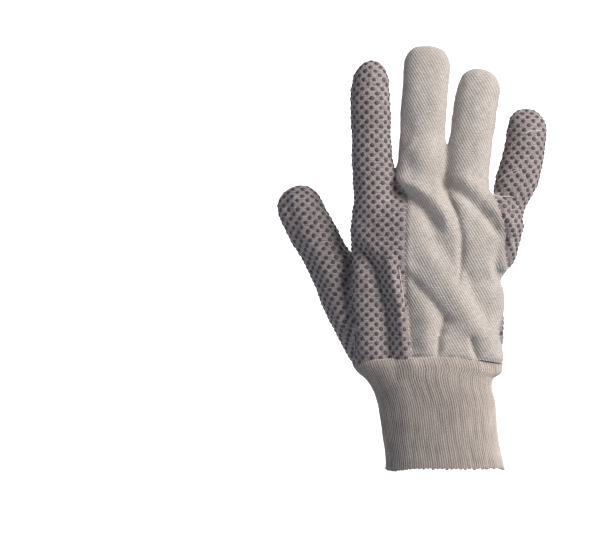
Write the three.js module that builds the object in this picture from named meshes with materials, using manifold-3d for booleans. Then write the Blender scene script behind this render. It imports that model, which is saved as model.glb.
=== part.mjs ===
// A cotton drill work glove for the right hand, shaped as it is when worn: fingers up, back of the hand
// towards -Y, palm towards +Y, thumb towards -X. Millimetres, +Z up. The origin is the middle of the
// wrist opening, at the lower edge of the knit cuff. Each piece of cloth is a hollow wall of its own,
// parted from its neighbours by the width of a sewn seam.

import * as THREE from 'three';
import { mergeVertices } from 'three/addons/utils/BufferGeometryUtils.js';
import Module from 'manifold-3d';

const wasm = await Module();
wasm.setup();

// Walls and seams
const clothWall = 1.2;
const knitWall = 1.8;
const seamGap = 0.3;

// Knit cuff
const cuffLength = 67;
const cuffWidth = 75;
const cuffDepth = 50;

// Hand, from the cuff seam to the forks of the fingers
const handWidth = 96;
const handDepth = 36;
const palmLength = 106;

// Fingers: length from the forks to the tip, width and depth at the middle of the finger, and the
// length of the rounded tip
const indexLength = 84;
const indexWidth = 25.5;
const indexDepth = 20;
const indexTip = 21;
const middleLength = 92;
const middleWidth = 29.5;
const middleDepth = 21;
const middleTip = 15;
const ringLength = 79.5;
const ringWidth = 28;
const ringDepth = 20.5;
const ringTip = 17;
const littleLength = 55.5;
const littleWidth = 26;
const littleDepth = 18.5;
const littleTip = 14;
const thumbLength = 57;
const thumbWidth = 29.5;
const thumbDepth = 23;
const thumbTip = 15;

// How finely the skins are stepped
const handSides = 42;
const handSteps = 20;
const fingerSides = 14;
const fingerSteps = 7;
const tipSteps = 3;
const thumbSteps = 9;
const cuffSides = 36;
const cuffSteps = 8;
const seamColumns = 6;
const seamRows = 22;
// The hand's steps lie closer together on its back, by this share, where the folds are deep.
const backCrowding = 0.35;

// How round the sections are: 2 is an ellipse, and more is squarer. tipFlat leaves a finger's very end
// flat, in steps.
const handRoundness = 2.5;
const cuffRoundness = 2.3;
const fingerRoundness = 2.15;
const tipFlat = 0.6;

// Where the seam passes between two fingers, in shares of the shorter one's length
const gapShares = [0.15, 0.4, 0.7, 1];

// The ring where the hand is sewn to the cuff, in shares of the hand's width and depth. Both use it.
const wristRing = { left: -0.615, right: 0.375, back: -0.53, front: 0.56 };

// Cuff sections. at: share of the cuff's length; left, right: shares of its width;
// back, front: shares of its depth.
const cuffSections = [
  { at: 0.0, left: -0.5, right: 0.5, back: -0.5, front: 0.5 },
  { at: 0.1, left: -0.497, right: 0.48, back: -0.5, front: 0.5 },
  { at: 0.3, left: -0.52, right: 0.445, back: -0.49, front: 0.49 },
  { at: 0.52, left: -0.548, right: 0.427, back: -0.48, front: 0.48 },
  { at: 0.66, left: -0.575, right: 0.415, back: -0.475, front: 0.48 },
  { at: 0.76, left: -0.61, right: 0.393, back: -0.47, front: 0.485 },
  { at: 0.83, left: -0.65, right: 0.4, back: -0.465, front: 0.49 },
  { at: 0.93, left: -0.74, right: 0.468, back: -0.44, front: 0.45 },
];

// Hand sections. at: share of the palm's length above the cuff; left, right: shares of the hand's
// width; back, front: shares of its depth.
const handSections = [
  { at: 0.12, left: -0.604, right: 0.378, back: -0.51, front: 0.5 },
  { at: 0.3, left: -0.604, right: 0.385, back: -0.5, front: 0.47 },
  { at: 0.42, left: -0.606, right: 0.384, back: -0.49, front: 0.46 },
  { at: 0.49, left: -0.608, right: 0.363, back: -0.48, front: 0.45 },
  { at: 0.58, left: -0.61, right: 0.435, back: -0.47, front: 0.44 },
  { at: 0.72, left: -0.612, right: 0.49, back: -0.43, front: 0.42 },
  { at: 0.86, left: -0.608, right: 0.505, back: -0.37, front: 0.38 },
  { at: 0.95, left: -0.595, right: 0.44, back: -0.3, front: 0.33 },
  { at: 1.0, left: -0.55, right: 0.3, back: -0.2, front: 0.24 },
];

// How a finger's width and depth run. at: share of its length above the forks; wide, deep: shares of
// its width and depth.
const fingerSections = [
  { at: -0.4, wide: 1.06, deep: 1.06 },
  { at: -0.15, wide: 1.08, deep: 1.18 },
  { at: 0.0, wide: 1.08, deep: 1.12 },
  { at: 0.3, wide: 1.0, deep: 1.0 },
  { at: 0.65, wide: 1.0, deep: 0.98 },
  { at: 1.0, wide: 1.0, deep: 0.92 },
];
const littleSections = [
  { at: -0.45, wide: 0.66, deep: 1.0 },
  { at: -0.1, wide: 0.76, deep: 1.12 },
  { at: 0.04, wide: 1.0, deep: 1.1 },
  { at: 0.3, wide: 1.0, deep: 1.0 },
  { at: 1.0, wide: 1.0, deep: 0.92 },
];
const thumbSections = [
  { at: -1.35, wide: 1.3, deep: 0.9 },
  { at: -1.17, wide: 1.36, deep: 1.12 },
  { at: -0.9, wide: 1.34, deep: 1.46 },
  { at: -0.45, wide: 1.2, deep: 1.27 },
  { at: -0.2, wide: 1.08, deep: 1.15 },
  { at: 0.0, wide: 1.0, deep: 1.04 },
  { at: 0.5, wide: 1.0, deep: 0.96 },
  { at: 1.0, wide: 1.02, deep: 0.88 },
];

// Where each finger stands. x, y: its root at the forks, in shares of the hand's width and depth;
// lean: degrees from upright, to the little finger's side; bow: sideways bow in shares of its width;
// lift, curl: how far it goes towards the palm, in shares of its depth, by the length and its square;
// from: where its skin starts, in shares of its length.
const digits = {
  index: {
    x: -0.452, y: 0.02, lean: -1.7, bow: -0.06, lift: 0.1, curl: 0.3, from: -0.36,
    length: indexLength, width: indexWidth, depth: indexDepth, tip: indexTip, rows: fingerSections,
  },
  middle: {
    x: -0.16, y: -0.04, lean: 3.4, bow: -0.03, lift: 0.1, curl: 0.35, from: -0.32,
    length: middleLength, width: middleWidth, depth: middleDepth, tip: middleTip, rows: fingerSections,
  },
  ring: {
    x: 0.13, y: -0.02, lean: 8.2, bow: -0.03, lift: 0.15, curl: 0.4, from: -0.34,
    length: ringLength, width: ringWidth, depth: ringDepth, tip: ringTip, rows: fingerSections,
  },
  little: {
    x: 0.446, y: 0.16, lean: 11.0, bow: 0.07, lift: 0.15, curl: 0.35, from: -0.45,
    length: littleLength, width: littleWidth, depth: littleDepth, tip: littleTip, rows: littleSections,
  },
  thumb: {
    x: -0.735, y: 0.4, lean: -28.5, bow: 0.0, lift: 0.31, curl: 0.1, from: -1.35,
    length: thumbLength, width: thumbWidth, depth: thumbDepth, tip: thumbTip, rows: thumbSections,
  },
};
// The thumb's root lies this share of the palm's length above the cuff, and the fingers' at its end.
// The thumb's rings are level from levelFrom, a share of the way down its skin.
const thumbRoot = 0.566;
const levelFrom = 0.8;

// Folds of the cloth. x, z to toX, toZ: the line of a fold, in shares of the hand's width and the palm's
// length above the cuff; bow: sideways bow, and left, right: the breadth of its two flanks, in shares of
// the hand's width; rise: its height, below nought for a valley, in shares of the hand's depth.
const backFolds = [
  { x: -0.27, z: 1.0, toX: 0.013, toZ: 0.77, bow: 0.0, rise: -0.094, left: 0.062, right: 0.062 },
  { x: -0.1, z: 1.0, toX: 0.12, toZ: 0.7, bow: 0.03, rise: 0.089, left: 0.073, right: 0.047 },
  { x: 0.013, z: 1.0, toX: 0.12, toZ: 0.52, bow: 0.04, rise: -0.072, left: 0.042, right: 0.062 },
  { x: 0.2, z: 1.0, toX: 0.31, toZ: 0.8, bow: 0.0, rise: -0.067, left: 0.052, right: 0.052 },
  { x: -0.1, z: 0.585, toX: 0.31, toZ: 0.12, bow: 0.0, rise: 0.078, left: 0.094, right: 0.094 },
  { x: -0.24, z: 0.56, toX: -0.03, toZ: 0.27, bow: 0.0, rise: -0.078, left: 0.052, right: 0.052 },
  { x: 0.0, z: 0.28, toX: -0.046, toZ: 0.0, bow: 0.0, rise: -0.061, left: 0.042, right: 0.042 },
  { x: 0.15, z: 0.2, toX: 0.22, toZ: 0.0, bow: 0.0, rise: -0.061, left: 0.042, right: 0.042 },
  { x: 0.14, z: 0.62, toX: 0.24, toZ: 0.4, bow: 0.0, rise: -0.050, left: 0.073, right: 0.073 },
  { x: -0.5, z: 0.68, toX: -0.34, toZ: 0.08, bow: 0.06, rise: -0.078, left: 0.062, right: 0.052 },
];
const palmFolds = [
  { x: -0.56, z: 0.58, toX: -0.3, toZ: 0.18, bow: 0.05, rise: -0.067, left: 0.073, right: 0.073 },
  { x: -0.28, z: 0.9, toX: -0.54, toZ: 0.6, bow: 0.0, rise: 0.056, left: 0.073, right: 0.073 },
  { x: 0.27, z: 0.84, toX: 0.42, toZ: 0.58, bow: 0.0, rise: -0.061, left: 0.073, right: 0.073 },
  { x: -0.12, z: 0.8, toX: 0.2, toZ: 0.32, bow: 0.0, rise: -0.050, left: 0.115, right: 0.115 },
];
// Past its ends a fold runs out over this share of its length. All fade out over foldFade mm below
// the forks, and towards the hand's two sides, at the rate foldSides.
const foldRunOut = 0.25;
const foldFade = 9;
const foldSides = 1.6;
// Gathers where the hand is drawn into the cuff, and how far up they reach
const gatherCount = 9;
const gatherRise = 0.7;
const gatherReach = 14;

// Seams between the hand's two panels, from the cuff to the forks, in shares of the hand's width and
// the palm's length above the cuff: beside the index finger and beside the little finger
const indexSeam = [
  { x: -0.215, z: -0.1 },
  { x: -0.25, z: 0.25 },
  { x: -0.268, z: 0.62 },
  { x: -0.272, z: 0.97 },
];
const littleSeam = [
  { x: 0.5, z: -0.1 },
  { x: 0.5, z: 0.5 },
  { x: 0.41, z: 0.55 },
  { x: 0.385, z: 0.77 },
  { x: 0.31, z: 1.0 },
];
// How far the seams lie from the middle of a finger towards the palm, in shares of its depth, and the
// share of the palm's length over which they turn from the hand's side to the fingers'
const seamShift = 0.1;
const seamTurn = 0.25;
// The lean of the fork between the middle and the ring finger, from upright
const forkLean = THREE.MathUtils.degToRad(4.8);
// The thumb's front tongue lies on the hand's side of this line. at, across: shares of the thumb's
// length and width from its root, towards its tip and towards the hand.
const tongueSeam = [
  { at: -1.2, across: 0.85 },
  { at: -0.95, across: 0.52 },
  { at: -0.64, across: 0.25 },
  { at: -0.3, across: 0.03 },
  { at: 0.1, across: -0.2 },
  { at: 0.6, across: -0.42 },
  { at: 1.3, across: -0.5 },
];

// How far the spaces that part the pieces reach past them: in Y in depths of the hand, and upwards in
// lengths of the middle finger
const pastFaces = 3 * handDepth;
const pastTips = 1.2;

const seamZ = cuffLength + seamGap;
const forkZ = cuffLength + palmLength;

// The smooth value of one column of a table at a place along it.
function read(rows, column, at) {
  const last = rows.length - 1;
  if (at <= rows[0].at) return rows[0][column];
  if (at >= rows[last].at) return rows[last][column];
  const i = rows.findIndex((row, k) => k < last && at < rows[k + 1].at);
  const slope = (k) => {
    const a = rows[Math.max(k - 1, 0)];
    const b = rows[Math.min(k + 1, last)];
    return (b[column] - a[column]) / (b.at - a.at);
  };
  const span = rows[i + 1].at - rows[i].at;
  const t = (at - rows[i].at) / span;
  const start = rows[i][column] + slope(i) * span * t;
  const end = rows[i + 1][column] - slope(i + 1) * span * (1 - t);
  return THREE.MathUtils.lerp(start, end, t * t * (3 - 2 * t));
}

// A point of a rounded oblong of half-width and half-depth 1, at an angle.
function oblong(angle, roundness) {
  const bend = (v) => Math.sign(v) * Math.abs(v) ** (2 / roundness);
  return { across: bend(Math.cos(angle)), deep: bend(Math.sin(angle)) };
}

// How high the folds stand at a point of the hand.
function foldsAt(folds, x, z) {
  let total = 0;
  for (const fold of folds) {
    const from = new THREE.Vector2(fold.x * handWidth, cuffLength + fold.z * palmLength);
    const to = new THREE.Vector2(fold.toX * handWidth, cuffLength + fold.toZ * palmLength);
    const run = to.clone().sub(from);
    const reach = run.length();
    run.normalize();
    const here = new THREE.Vector2(x, z).sub(from);
    const t = here.dot(run) / reach;
    if (t < -foldRunOut || t > 1 + foldRunOut) continue;
    const side = here.cross(run) * -1 - fold.bow * handWidth * 4 * t * (1 - t);
    const flank = (side > 0 ? fold.right : fold.left) * handWidth;
    const ends = THREE.MathUtils.smoothstep(Math.min(t, 1 - t), -foldRunOut, 0);
    total += fold.rise * handDepth * Math.exp(-((side / flank) ** 2)) * ends;
  }
  return total;
}

// A closed skin: a cylinder whose vertices go where place(angle, step) puts them. The middle of each
// flat end goes to the mean of its rim.
function skin(sides, steps, place) {
  const base = new THREE.CylinderGeometry(1, 1, 1, sides, steps);
  base.deleteAttribute('normal');
  base.deleteAttribute('uv');
  const geometry = mergeVertices(base, 1e-4);
  const position = geometry.getAttribute('position');
  const middle = (step) => {
    const sum = new THREE.Vector3();
    for (let k = 0; k < sides; k++) sum.add(place((2 * Math.PI * k) / sides, step));
    return sum.divideScalar(sides);
  };
  for (let i = 0; i < position.count; i++) {
    const at = new THREE.Vector3().fromBufferAttribute(position, i);
    const step = Math.round((at.y + 0.5) * steps);
    const rim = Math.hypot(at.x, at.z) > 0.5;
    const put = rim ? place(Math.atan2(at.z, at.x), step) : middle(step);
    position.setXYZ(i, put.x, put.y, put.z);
  }
  return solid(geometry);
}

// A closed geometry as a solid, with its faces turned outwards.
function solid(geometry) {
  const make = (triVerts) => new wasm.Manifold(new wasm.Mesh({
    numProp: 3,
    vertProperties: geometry.getAttribute('position').array,
    triVerts,
  }));
  const triVerts = new Uint32Array(geometry.index.array);
  const made = make(triVerts);
  return made.volume() > 0 ? made : make(triVerts.reverse());
}

// Where a ring of the hand or the cuff lies, in mm, from its row of shares.
function ringOf(row, at, width, depth) {
  return { at, left: row.left * width, right: row.right * width,
    back: row.back * depth, front: row.front * depth };
}

const wrist = ringOf(wristRing, 0, handWidth, handDepth);
const handRings = [wrist].concat(
  handSections.map((row) => ringOf(row, row.at * palmLength, handWidth, handDepth)));
const cuffRings = cuffSections
  .map((row) => ringOf(row, row.at * cuffLength, cuffWidth, cuffDepth))
  .concat([{ ...wrist, at: cuffLength }]);

// A point of a ring, wall mm inside it.
function onRing(rings, at, angle, roundness, wall) {
  const left = read(rings, 'left', at) + wall;
  const right = read(rings, 'right', at) - wall;
  const { across, deep } = oblong(angle, roundness);
  const face = deep < 0 ? -(read(rings, 'back', at) + wall) : read(rings, 'front', at) - wall;
  return { x: (left + right) / 2 + (across * (right - left)) / 2, y: deep * face, deep };
}

// The hand without its fingers, wall mm inside its outer face, starting at the height foot.
function handSkin(wall, foot) {
  const top = palmLength - wall;
  return skin(handSides, handSteps, (turn, step) => {
    const angle = turn - backCrowding * Math.cos(turn);
    const at = step === 0 ? foot - cuffLength : (step / handSteps) * top;
    const { x, y, deep } = onRing(handRings, Math.max(at, 0), angle, handRoundness, wall);
    const z = cuffLength + at;
    const folds = deep < 0 ? -foldsAt(backFolds, x, z) : foldsAt(palmFolds, x, z);
    const fade = Math.min(1, Math.abs(deep) * foldSides) * Math.min(1, (top - at) / foldFade);
    const gather = gatherRise * Math.cos(gatherCount * angle) * Math.exp(-Math.max(at, 0) / gatherReach);
    return new THREE.Vector3(x, y + folds * fade + gather * Math.sign(deep) * deep * deep, z);
  });
}

// The middle line of a finger, and the ways along and across it. Below its root the thumb's rings turn
// level, to meet the cuff.
function digitLine(digit, along) {
  const lean = THREE.MathUtils.degToRad(digit.lean);
  const level = digit === digits.thumb ? THREE.MathUtils.smoothstep(-along, 0, -digit.from * levelFrom) : 0;
  const tilt = lean * (1 - level);
  const up = new THREE.Vector3(Math.sin(lean), 0, Math.cos(lean));
  const across = new THREE.Vector3(Math.cos(tilt), 0, -Math.sin(tilt));
  const bow = along > 0 ? digit.bow * 4 * along * (1 - along) : 0;
  const curl = along > 0 ? digit.curl * along * along : 0;
  const middle = new THREE.Vector3(digit.x * handWidth, digit.y * handDepth, rootZ(digit))
    .addScaledVector(up, digit.length * along)
    .addScaledVector(across, digit.width * bow);
  middle.y += digit.depth * (digit.lift * along + curl);
  return { middle, across, up };
}

function rootZ(digit) {
  return digit === digits.thumb ? cuffLength + thumbRoot * palmLength : forkZ;
}

// One finger's or the thumb's skin, wall mm inside its outer face.
function digitSkin(digit, wall, shaftSteps) {
  const tip = digit.tip - wall;
  const shaft = digit.length - digit.tip;
  const foot = digit.from * digit.length;
  return skin(fingerSides, shaftSteps + tipSteps, (angle, step) => {
    const turn = (Math.max(0, step - shaftSteps) / (tipSteps + tipFlat)) * (Math.PI / 2);
    const onShaft = foot + ((shaft - foot) * Math.min(step, shaftSteps)) / shaftSteps;
    const at = (onShaft + tip * Math.sin(turn)) / digit.length;
    const { middle, across } = digitLine(digit, at);
    const wide = (read(digit.rows, 'wide', at) * digit.width) / 2 - wall;
    const deep = (read(digit.rows, 'deep', at) * digit.depth) / 2 - wall;
    const ring = oblong(angle, fingerRoundness);
    middle.addScaledVector(across, ring.across * wide * Math.cos(turn));
    middle.y += ring.deep * deep * Math.cos(turn);
    return middle;
  });
}

// The knit cuff's skin, wall mm inside its outer face, from the height foot to the height top.
function cuffSkin(wall, foot, top) {
  return skin(cuffSides, cuffSteps, (angle, step) => {
    const z = foot + ((top - foot) * step) / cuffSteps;
    const { x, y } = onRing(cuffRings, z, angle, cuffRoundness, wall);
    return new THREE.Vector3(x, y, z);
  });
}

// A block whose corners go where place(u, v, far) puts them. u and v run from 0 to 1 across it and up
// it, and far tells its two faces apart.
function block(columns, rows, place) {
  const base = new THREE.BoxGeometry(1, 1, 1, columns, 1, rows);
  base.deleteAttribute('normal');
  base.deleteAttribute('uv');
  const geometry = mergeVertices(base, 1e-4);
  const position = geometry.getAttribute('position');
  for (let i = 0; i < position.count; i++) {
    const put = place(position.getX(i) + 0.5, position.getZ(i) + 0.5, position.getY(i) > 0);
    position.setXYZ(i, put.x, put.y, put.z);
  }
  return solid(geometry);
}

// The middle of the gap between two fingers, at a share of the shorter one's length.
function gapPoint(a, b, share) {
  const reach = share * Math.min(a.length, b.length);
  const edge = (digit, side) => {
    const { middle, across } = digitLine(digit, reach / digit.length);
    return middle.addScaledVector(across, (side * digit.width) / 2);
  };
  const between = edge(a, 1).lerp(edge(b, -1), 0.5);
  return { at: between.z, x: between.x };
}

// The height in Y of the seam between the back and the palm: along the middle and the ring finger,
// and down the hand's own side.
function backSeamY(x, z) {
  const { middle, ring } = digits;
  const height = (digit) => {
    const along = Math.min(1, Math.max(0, (z - forkZ) / digit.length));
    return digitLine(digit, along).middle.y + seamShift * digit.depth;
  };
  const fork = ((middle.x + ring.x) / 2) * handWidth + (z - forkZ) * Math.tan(forkLean);
  const share = THREE.MathUtils.smoothstep(x, fork - middleWidth / 4, fork + ringWidth / 4);
  const fingers = THREE.MathUtils.lerp(height(middle), height(ring), share);
  return fingers * THREE.MathUtils.smoothstep(z, forkZ - seamTurn * palmLength, forkZ);
}

// The space that the back panel fills, grown by a margin: between its two seams, which run on between
// the fingers, on the back's side of the seam round the fingertips.
function backSpace(margin) {
  const { index, middle, ring, little } = digits;
  const low = { at: seamZ - 2 * clothWall };
  const high = { at: forkZ + pastTips * middleLength };
  const place = (row) => ({ at: cuffLength + row.z * palmLength, x: row.x * handWidth });
  const left = indexSeam.map(place).concat(gapShares.map((share) => gapPoint(index, middle, share)));
  const right = littleSeam.map(place).concat(gapShares.map((share) => gapPoint(ring, little, share)));
  right.push({ at: high.at, x: right[right.length - 1].x + ringWidth });
  return block(seamColumns, seamRows, (u, v, far) => {
    const z = THREE.MathUtils.lerp(low.at, high.at, v);
    const x = THREE.MathUtils.lerp(read(left, 'x', z) - margin, read(right, 'x', z) + margin, u);
    return new THREE.Vector3(x, far ? backSeamY(x, z) + margin : -pastFaces, z);
  });
}

// The space that the thumb's front tongue fills, grown by a margin: from its seam to the hand, on the
// palm's side of the seam round the thumb.
function tongueSpace(margin) {
  const { middle, up } = digitLine(digits.thumb, 0);
  const across = new THREE.Vector3(up.z, 0, -up.x);
  const low = tongueSeam[0].at;
  const high = tongueSeam[tongueSeam.length - 1].at;
  return block(seamColumns, seamRows, (u, v, far) => {
    const along = THREE.MathUtils.lerp(low, high, v);
    const seam = read(tongueSeam, 'across', along) * thumbWidth - margin;
    const put = middle.clone().addScaledVector(up, along * thumbLength)
      .addScaledVector(across, THREE.MathUtils.lerp(seam, 2 * thumbWidth, u));
    const near = digitLine(digits.thumb, along).middle.y + seamShift * thumbDepth - margin;
    put.y = far ? pastFaces : near;
    return put;
  });
}

// A solid as a named mesh.
function piece(name, body, material) {
  const { numProp, vertProperties, triVerts } = body.getMesh();
  const geometry = new THREE.BufferGeometry();
  const position = new Float32Array((vertProperties.length / numProp) * 3);
  for (let i = 0; i < position.length / 3; i++) {
    position.set(vertProperties.subarray(i * numProp, i * numProp + 3), i * 3);
  }
  geometry.setAttribute('position', new THREE.BufferAttribute(position, 3));
  geometry.setIndex(new THREE.BufferAttribute(triVerts, 1));
  geometry.computeVertexNormals();
  const mesh = new THREE.Mesh(geometry, material);
  mesh.name = name;
  return mesh;
}

const fingers = [digits.index, digits.middle, digits.ring, digits.little];
const join = (solids) => solids.reduce((whole, next) => whole.add(next));
const footInside = cuffLength - 2 * knitWall;
const handWithFingers = (wall) => join(
  [handSkin(wall, footInside), ...fingers.map((finger) => digitSkin(finger, wall, fingerSteps))]);

const aboveCuff = block(1, 1, (u, v, far) => new THREE.Vector3(
  (u - 0.5) * 4 * handWidth, far ? pastFaces : -pastFaces, seamZ + v * 2 * forkZ));
const thumbHollow = digitSkin(digits.thumb, clothWall, thumbSteps);
const hand = handWithFingers(0).subtract(handWithFingers(clothWall)).subtract(thumbHollow).intersect(aboveCuff);
const thumb = digitSkin(digits.thumb, 0, thumbSteps)
  .subtract(thumbHollow).subtract(handWithFingers(-seamGap)).intersect(aboveCuff);

const dotted = new THREE.MeshStandardMaterial({ color: 0xa89c92, roughness: 0.95, metalness: 0 });
const drill = new THREE.MeshStandardMaterial({ color: 0xcfc6b8, roughness: 0.95, metalness: 0 });
const knit = new THREE.MeshStandardMaterial({ color: 0xbcb1a4, roughness: 1, metalness: 0 });

const glove = new THREE.Group();
glove.add(piece('palm_panel', hand.subtract(backSpace(seamGap)), dotted));
glove.add(piece('back_panel', hand.intersect(backSpace(0)), drill));
glove.add(piece('thumb_back', thumb.subtract(tongueSpace(seamGap)), dotted));
glove.add(piece('thumb_tongue', thumb.intersect(tongueSpace(0)), dotted));
glove.add(piece('knit_cuff', cuffSkin(0, 0, cuffLength)
  .subtract(cuffSkin(knitWall, -knitWall, cuffLength + knitWall)), knit));

export default glove;
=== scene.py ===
"""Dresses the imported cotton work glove: its cloth panels, grip dots, sewn seams and knit cuff.

Metres, +Z up. The glove stands as worn, fingers up, its back towards -Y and its thumb towards -X, and the
origin is the middle of the wrist opening.
"""

import logging
import math
import random
from dataclasses import dataclass, field
from enum import Enum
from typing import Callable, Iterable, Sequence

import bmesh
import bpy
import numpy as np
from mathutils import Matrix, Vector, noise
from mathutils.bvhtree import BVHTree
from mathutils.kdtree import KDTree


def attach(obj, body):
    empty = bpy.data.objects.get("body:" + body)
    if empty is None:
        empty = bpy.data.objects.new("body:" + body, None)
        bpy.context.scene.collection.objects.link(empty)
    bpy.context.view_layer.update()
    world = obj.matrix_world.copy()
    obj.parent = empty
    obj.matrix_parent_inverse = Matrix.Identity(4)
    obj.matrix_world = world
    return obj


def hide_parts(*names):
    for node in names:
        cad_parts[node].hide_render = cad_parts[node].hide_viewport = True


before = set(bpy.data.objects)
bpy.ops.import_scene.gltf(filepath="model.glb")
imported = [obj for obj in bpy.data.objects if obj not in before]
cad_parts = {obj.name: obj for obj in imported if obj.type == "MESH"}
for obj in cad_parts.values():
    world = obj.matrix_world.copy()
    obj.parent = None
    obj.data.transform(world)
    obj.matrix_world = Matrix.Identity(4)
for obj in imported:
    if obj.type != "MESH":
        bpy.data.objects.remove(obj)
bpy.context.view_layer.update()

MM = 0.001
# How far from a seam the cloth's seam attribute reaches; the cloth's colour uses it as painted shade at
# the seams, and it keeps the dots off them
SEAM_SHADE = 2.4 * MM
Place = Callable[[np.ndarray, np.ndarray], np.ndarray]
Point = tuple[float, float, float]
Colour = tuple[float, float, float]
Line = tuple[tuple[float, float], ...]

log = logging.getLogger("glove")


class Side(Enum):
    """The two broad sides of the hand."""

    BACK = -1.0
    PALM = 1.0


class Cut(Enum):
    """The pieces of cloth that the hand's skin is cut into."""

    PALM = 0
    BACK = 1
    THUMB = 2
    TONGUE = 3


def smooth_between(low: float, high: float, value: np.ndarray) -> np.ndarray:
    """Return 0 below low, 1 above high, and an even rise between them."""
    share = np.clip((value - low) / (high - low), 0.0, 1.0)
    return share * share * (3.0 - 2.0 * share)


def oblong(angle: np.ndarray, roundness: float) -> tuple[np.ndarray, np.ndarray]:
    """Return the two coordinates of a rounded oblong of half-size 1.

    Args:
        angle: where on it, in radians.
        roundness: 2 for an ellipse, and more for a squarer one.

    Returns:
        How far across and how deep the point lies.
    """
    across, deep = np.cos(angle), np.sin(angle)
    power = 2.0 / roundness
    return np.sign(across) * np.abs(across) ** power, np.sign(deep) * np.abs(deep) ** power


def rows_of(members: bpy.types.bpy_prop_collection, name: str, width: int,
            kind: type = np.float32) -> np.ndarray:
    """Read one property of all members of a mesh's collection.

    Args:
        members: the vertices, edges, loops or others.
        name: the property.
        width: how many numbers each member has.
        kind: how Blender holds the numbers.

    Returns:
        One row of numbers for each member.
    """
    flat = np.empty(len(members) * width, kind)
    members.foreach_get(name, flat)
    return flat.reshape(-1, width).astype(float if kind is np.float32 else int)


def coordinates(mesh: bpy.types.Mesh) -> np.ndarray:
    """Return a mesh's vertex places, one row each."""
    return rows_of(mesh.vertices, "co", 3)


def set_coordinates(mesh: bpy.types.Mesh, places: np.ndarray) -> None:
    """Move a mesh's vertices to new places."""
    mesh.vertices.foreach_set("co", places.astype(np.float32).ravel())
    mesh.update()


def vertex_normals(mesh: bpy.types.Mesh) -> np.ndarray:
    """Return a mesh's vertex normals, one row each."""
    return rows_of(mesh.vertex_normals, "vector", 3)


def mesh_of(bm: bmesh.types.BMesh, name: str) -> bpy.types.Mesh:
    """Turn a bmesh into a new mesh and free it."""
    mesh = bpy.data.meshes.new(name)
    bm.to_mesh(mesh)
    bm.free()
    return mesh


def object_of(data: bpy.types.ID, name: str) -> bpy.types.Object:
    """Put a mesh, curve, light or camera into the scene as an object at the origin."""
    made = bpy.data.objects.new(name, data)
    bpy.context.scene.collection.objects.link(made)
    return made


def dressed(mesh: bpy.types.Mesh, name: str, finish: bpy.types.Material,
            thickness: float = 0.0) -> bpy.types.Object:
    """Put a smooth piece into the scene.

    Args:
        mesh: its surface.
        name: name of the piece.
        finish: its material.
        thickness: how thick it gets, inwards, or nought where it stays as it is.

    Returns:
        The piece.
    """
    mesh.materials.clear()
    mesh.materials.append(finish)
    mesh.shade_smooth()
    obj = object_of(mesh, name)
    if thickness:
        wall = obj.modifiers.new("wall", "SOLIDIFY")
        wall.thickness = thickness
        wall.offset = -1.0
    return obj


def baked(obj: bpy.types.Object) -> bpy.types.Mesh:
    """Return an object's mesh with its modifiers applied, and take the object away."""
    graph = bpy.context.evaluated_depsgraph_get()
    graph.update()
    mesh = bpy.data.meshes.new_from_object(obj.evaluated_get(graph))
    bpy.data.objects.remove(obj)
    return mesh


def tube(columns: int, rows: int, place: Place) -> bmesh.types.BMesh:
    """Make a closed tube from a grid that is bent round and stitched to itself.

    Args:
        columns: faces round the tube.
        rows: faces along it.
        place: gives the points for arrays of the shares round and along the tube.

    Returns:
        A closed shell with its normals outwards.
    """
    bm = bmesh.new()
    bmesh.ops.create_grid(bm, x_segments=columns, y_segments=rows, size=0.5)
    shares = np.array([vert.co[:2] for vert in bm.verts]) + 0.5
    for vert, point in zip(bm.verts, place(shares[:, 0], shares[:, 1])):
        vert.co = point
    bmesh.ops.remove_doubles(bm, verts=bm.verts, dist=0.01 * MM)
    bmesh.ops.holes_fill(bm, edges=bm.edges, sides=0)
    bmesh.ops.recalc_face_normals(bm, faces=bm.faces)
    return bm


def settled(ends: np.ndarray, wanted: np.ndarray, weight: np.ndarray, start: np.ndarray) -> np.ndarray:
    """Find the value at each vertex whose differences along the edges come nearest to the wanted ones.

    Args:
        ends: the two vertices of each edge.
        wanted: the difference wanted along each edge.
        weight: how much each edge counts.
        start: a first guess at the values.

    Returns:
        The values, found by conjugate gradients.
    """
    first, second = ends.T
    count, rounds, enough = len(start), 4000, 1e-14

    def gathered(flow: np.ndarray) -> np.ndarray:
        """Add up at each vertex what flows in along its edges, less what flows out."""
        return np.bincount(second, flow, count) - np.bincount(first, flow, count)

    scale = np.bincount(first, weight, count) + np.bincount(second, weight, count)
    values = start.copy()
    left = gathered(weight * (wanted - (values[second] - values[first])))
    step = left / scale
    size = whole = left @ step
    for turn in range(rounds):
        moved = gathered(weight * (step[second] - step[first]))
        share = size / (step @ moved)
        values += share * step
        left -= share * moved
        ready = left / scale
        after = left @ ready
        if after < enough * whole:
            break
        step = ready + after / size * step
        size = after
    log.info("settled %d vertices in %d rounds", count, turn + 1)
    return values


@dataclass(frozen=True)
class Profile:
    """A table of sections that is read smoothly at any place along a piece.

    Attributes:
        columns: names of the values after the first, which is the place.
        rows: one row of numbers for each section.
    """

    columns: tuple[str, ...]
    rows: tuple[tuple[float, ...], ...]

    def read(self, column: str, at: np.ndarray) -> np.ndarray:
        """Return one column's values at the given places."""
        table = np.array(self.rows)
        places = table[:, 0]
        values = table[:, 1 + self.columns.index(column)]
        slopes = np.empty(len(places))
        slopes[1:-1] = (values[2:] - values[:-2]) / (places[2:] - places[:-2])
        slopes[0] = (values[1] - values[0]) / (places[1] - places[0])
        slopes[-1] = (values[-1] - values[-2]) / (places[-1] - places[-2])
        at = np.clip(at, places[0], places[-1])
        row = np.clip(np.searchsorted(places, at, side="right") - 1, 0, len(places) - 2)
        span = places[row + 1] - places[row]
        share = (at - places[row]) / span
        start = values[row] + slopes[row] * span * share
        end = values[row + 1] - slopes[row + 1] * span * (1.0 - share)
        return start + (end - start) * share * share * (3.0 - 2.0 * share)


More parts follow.
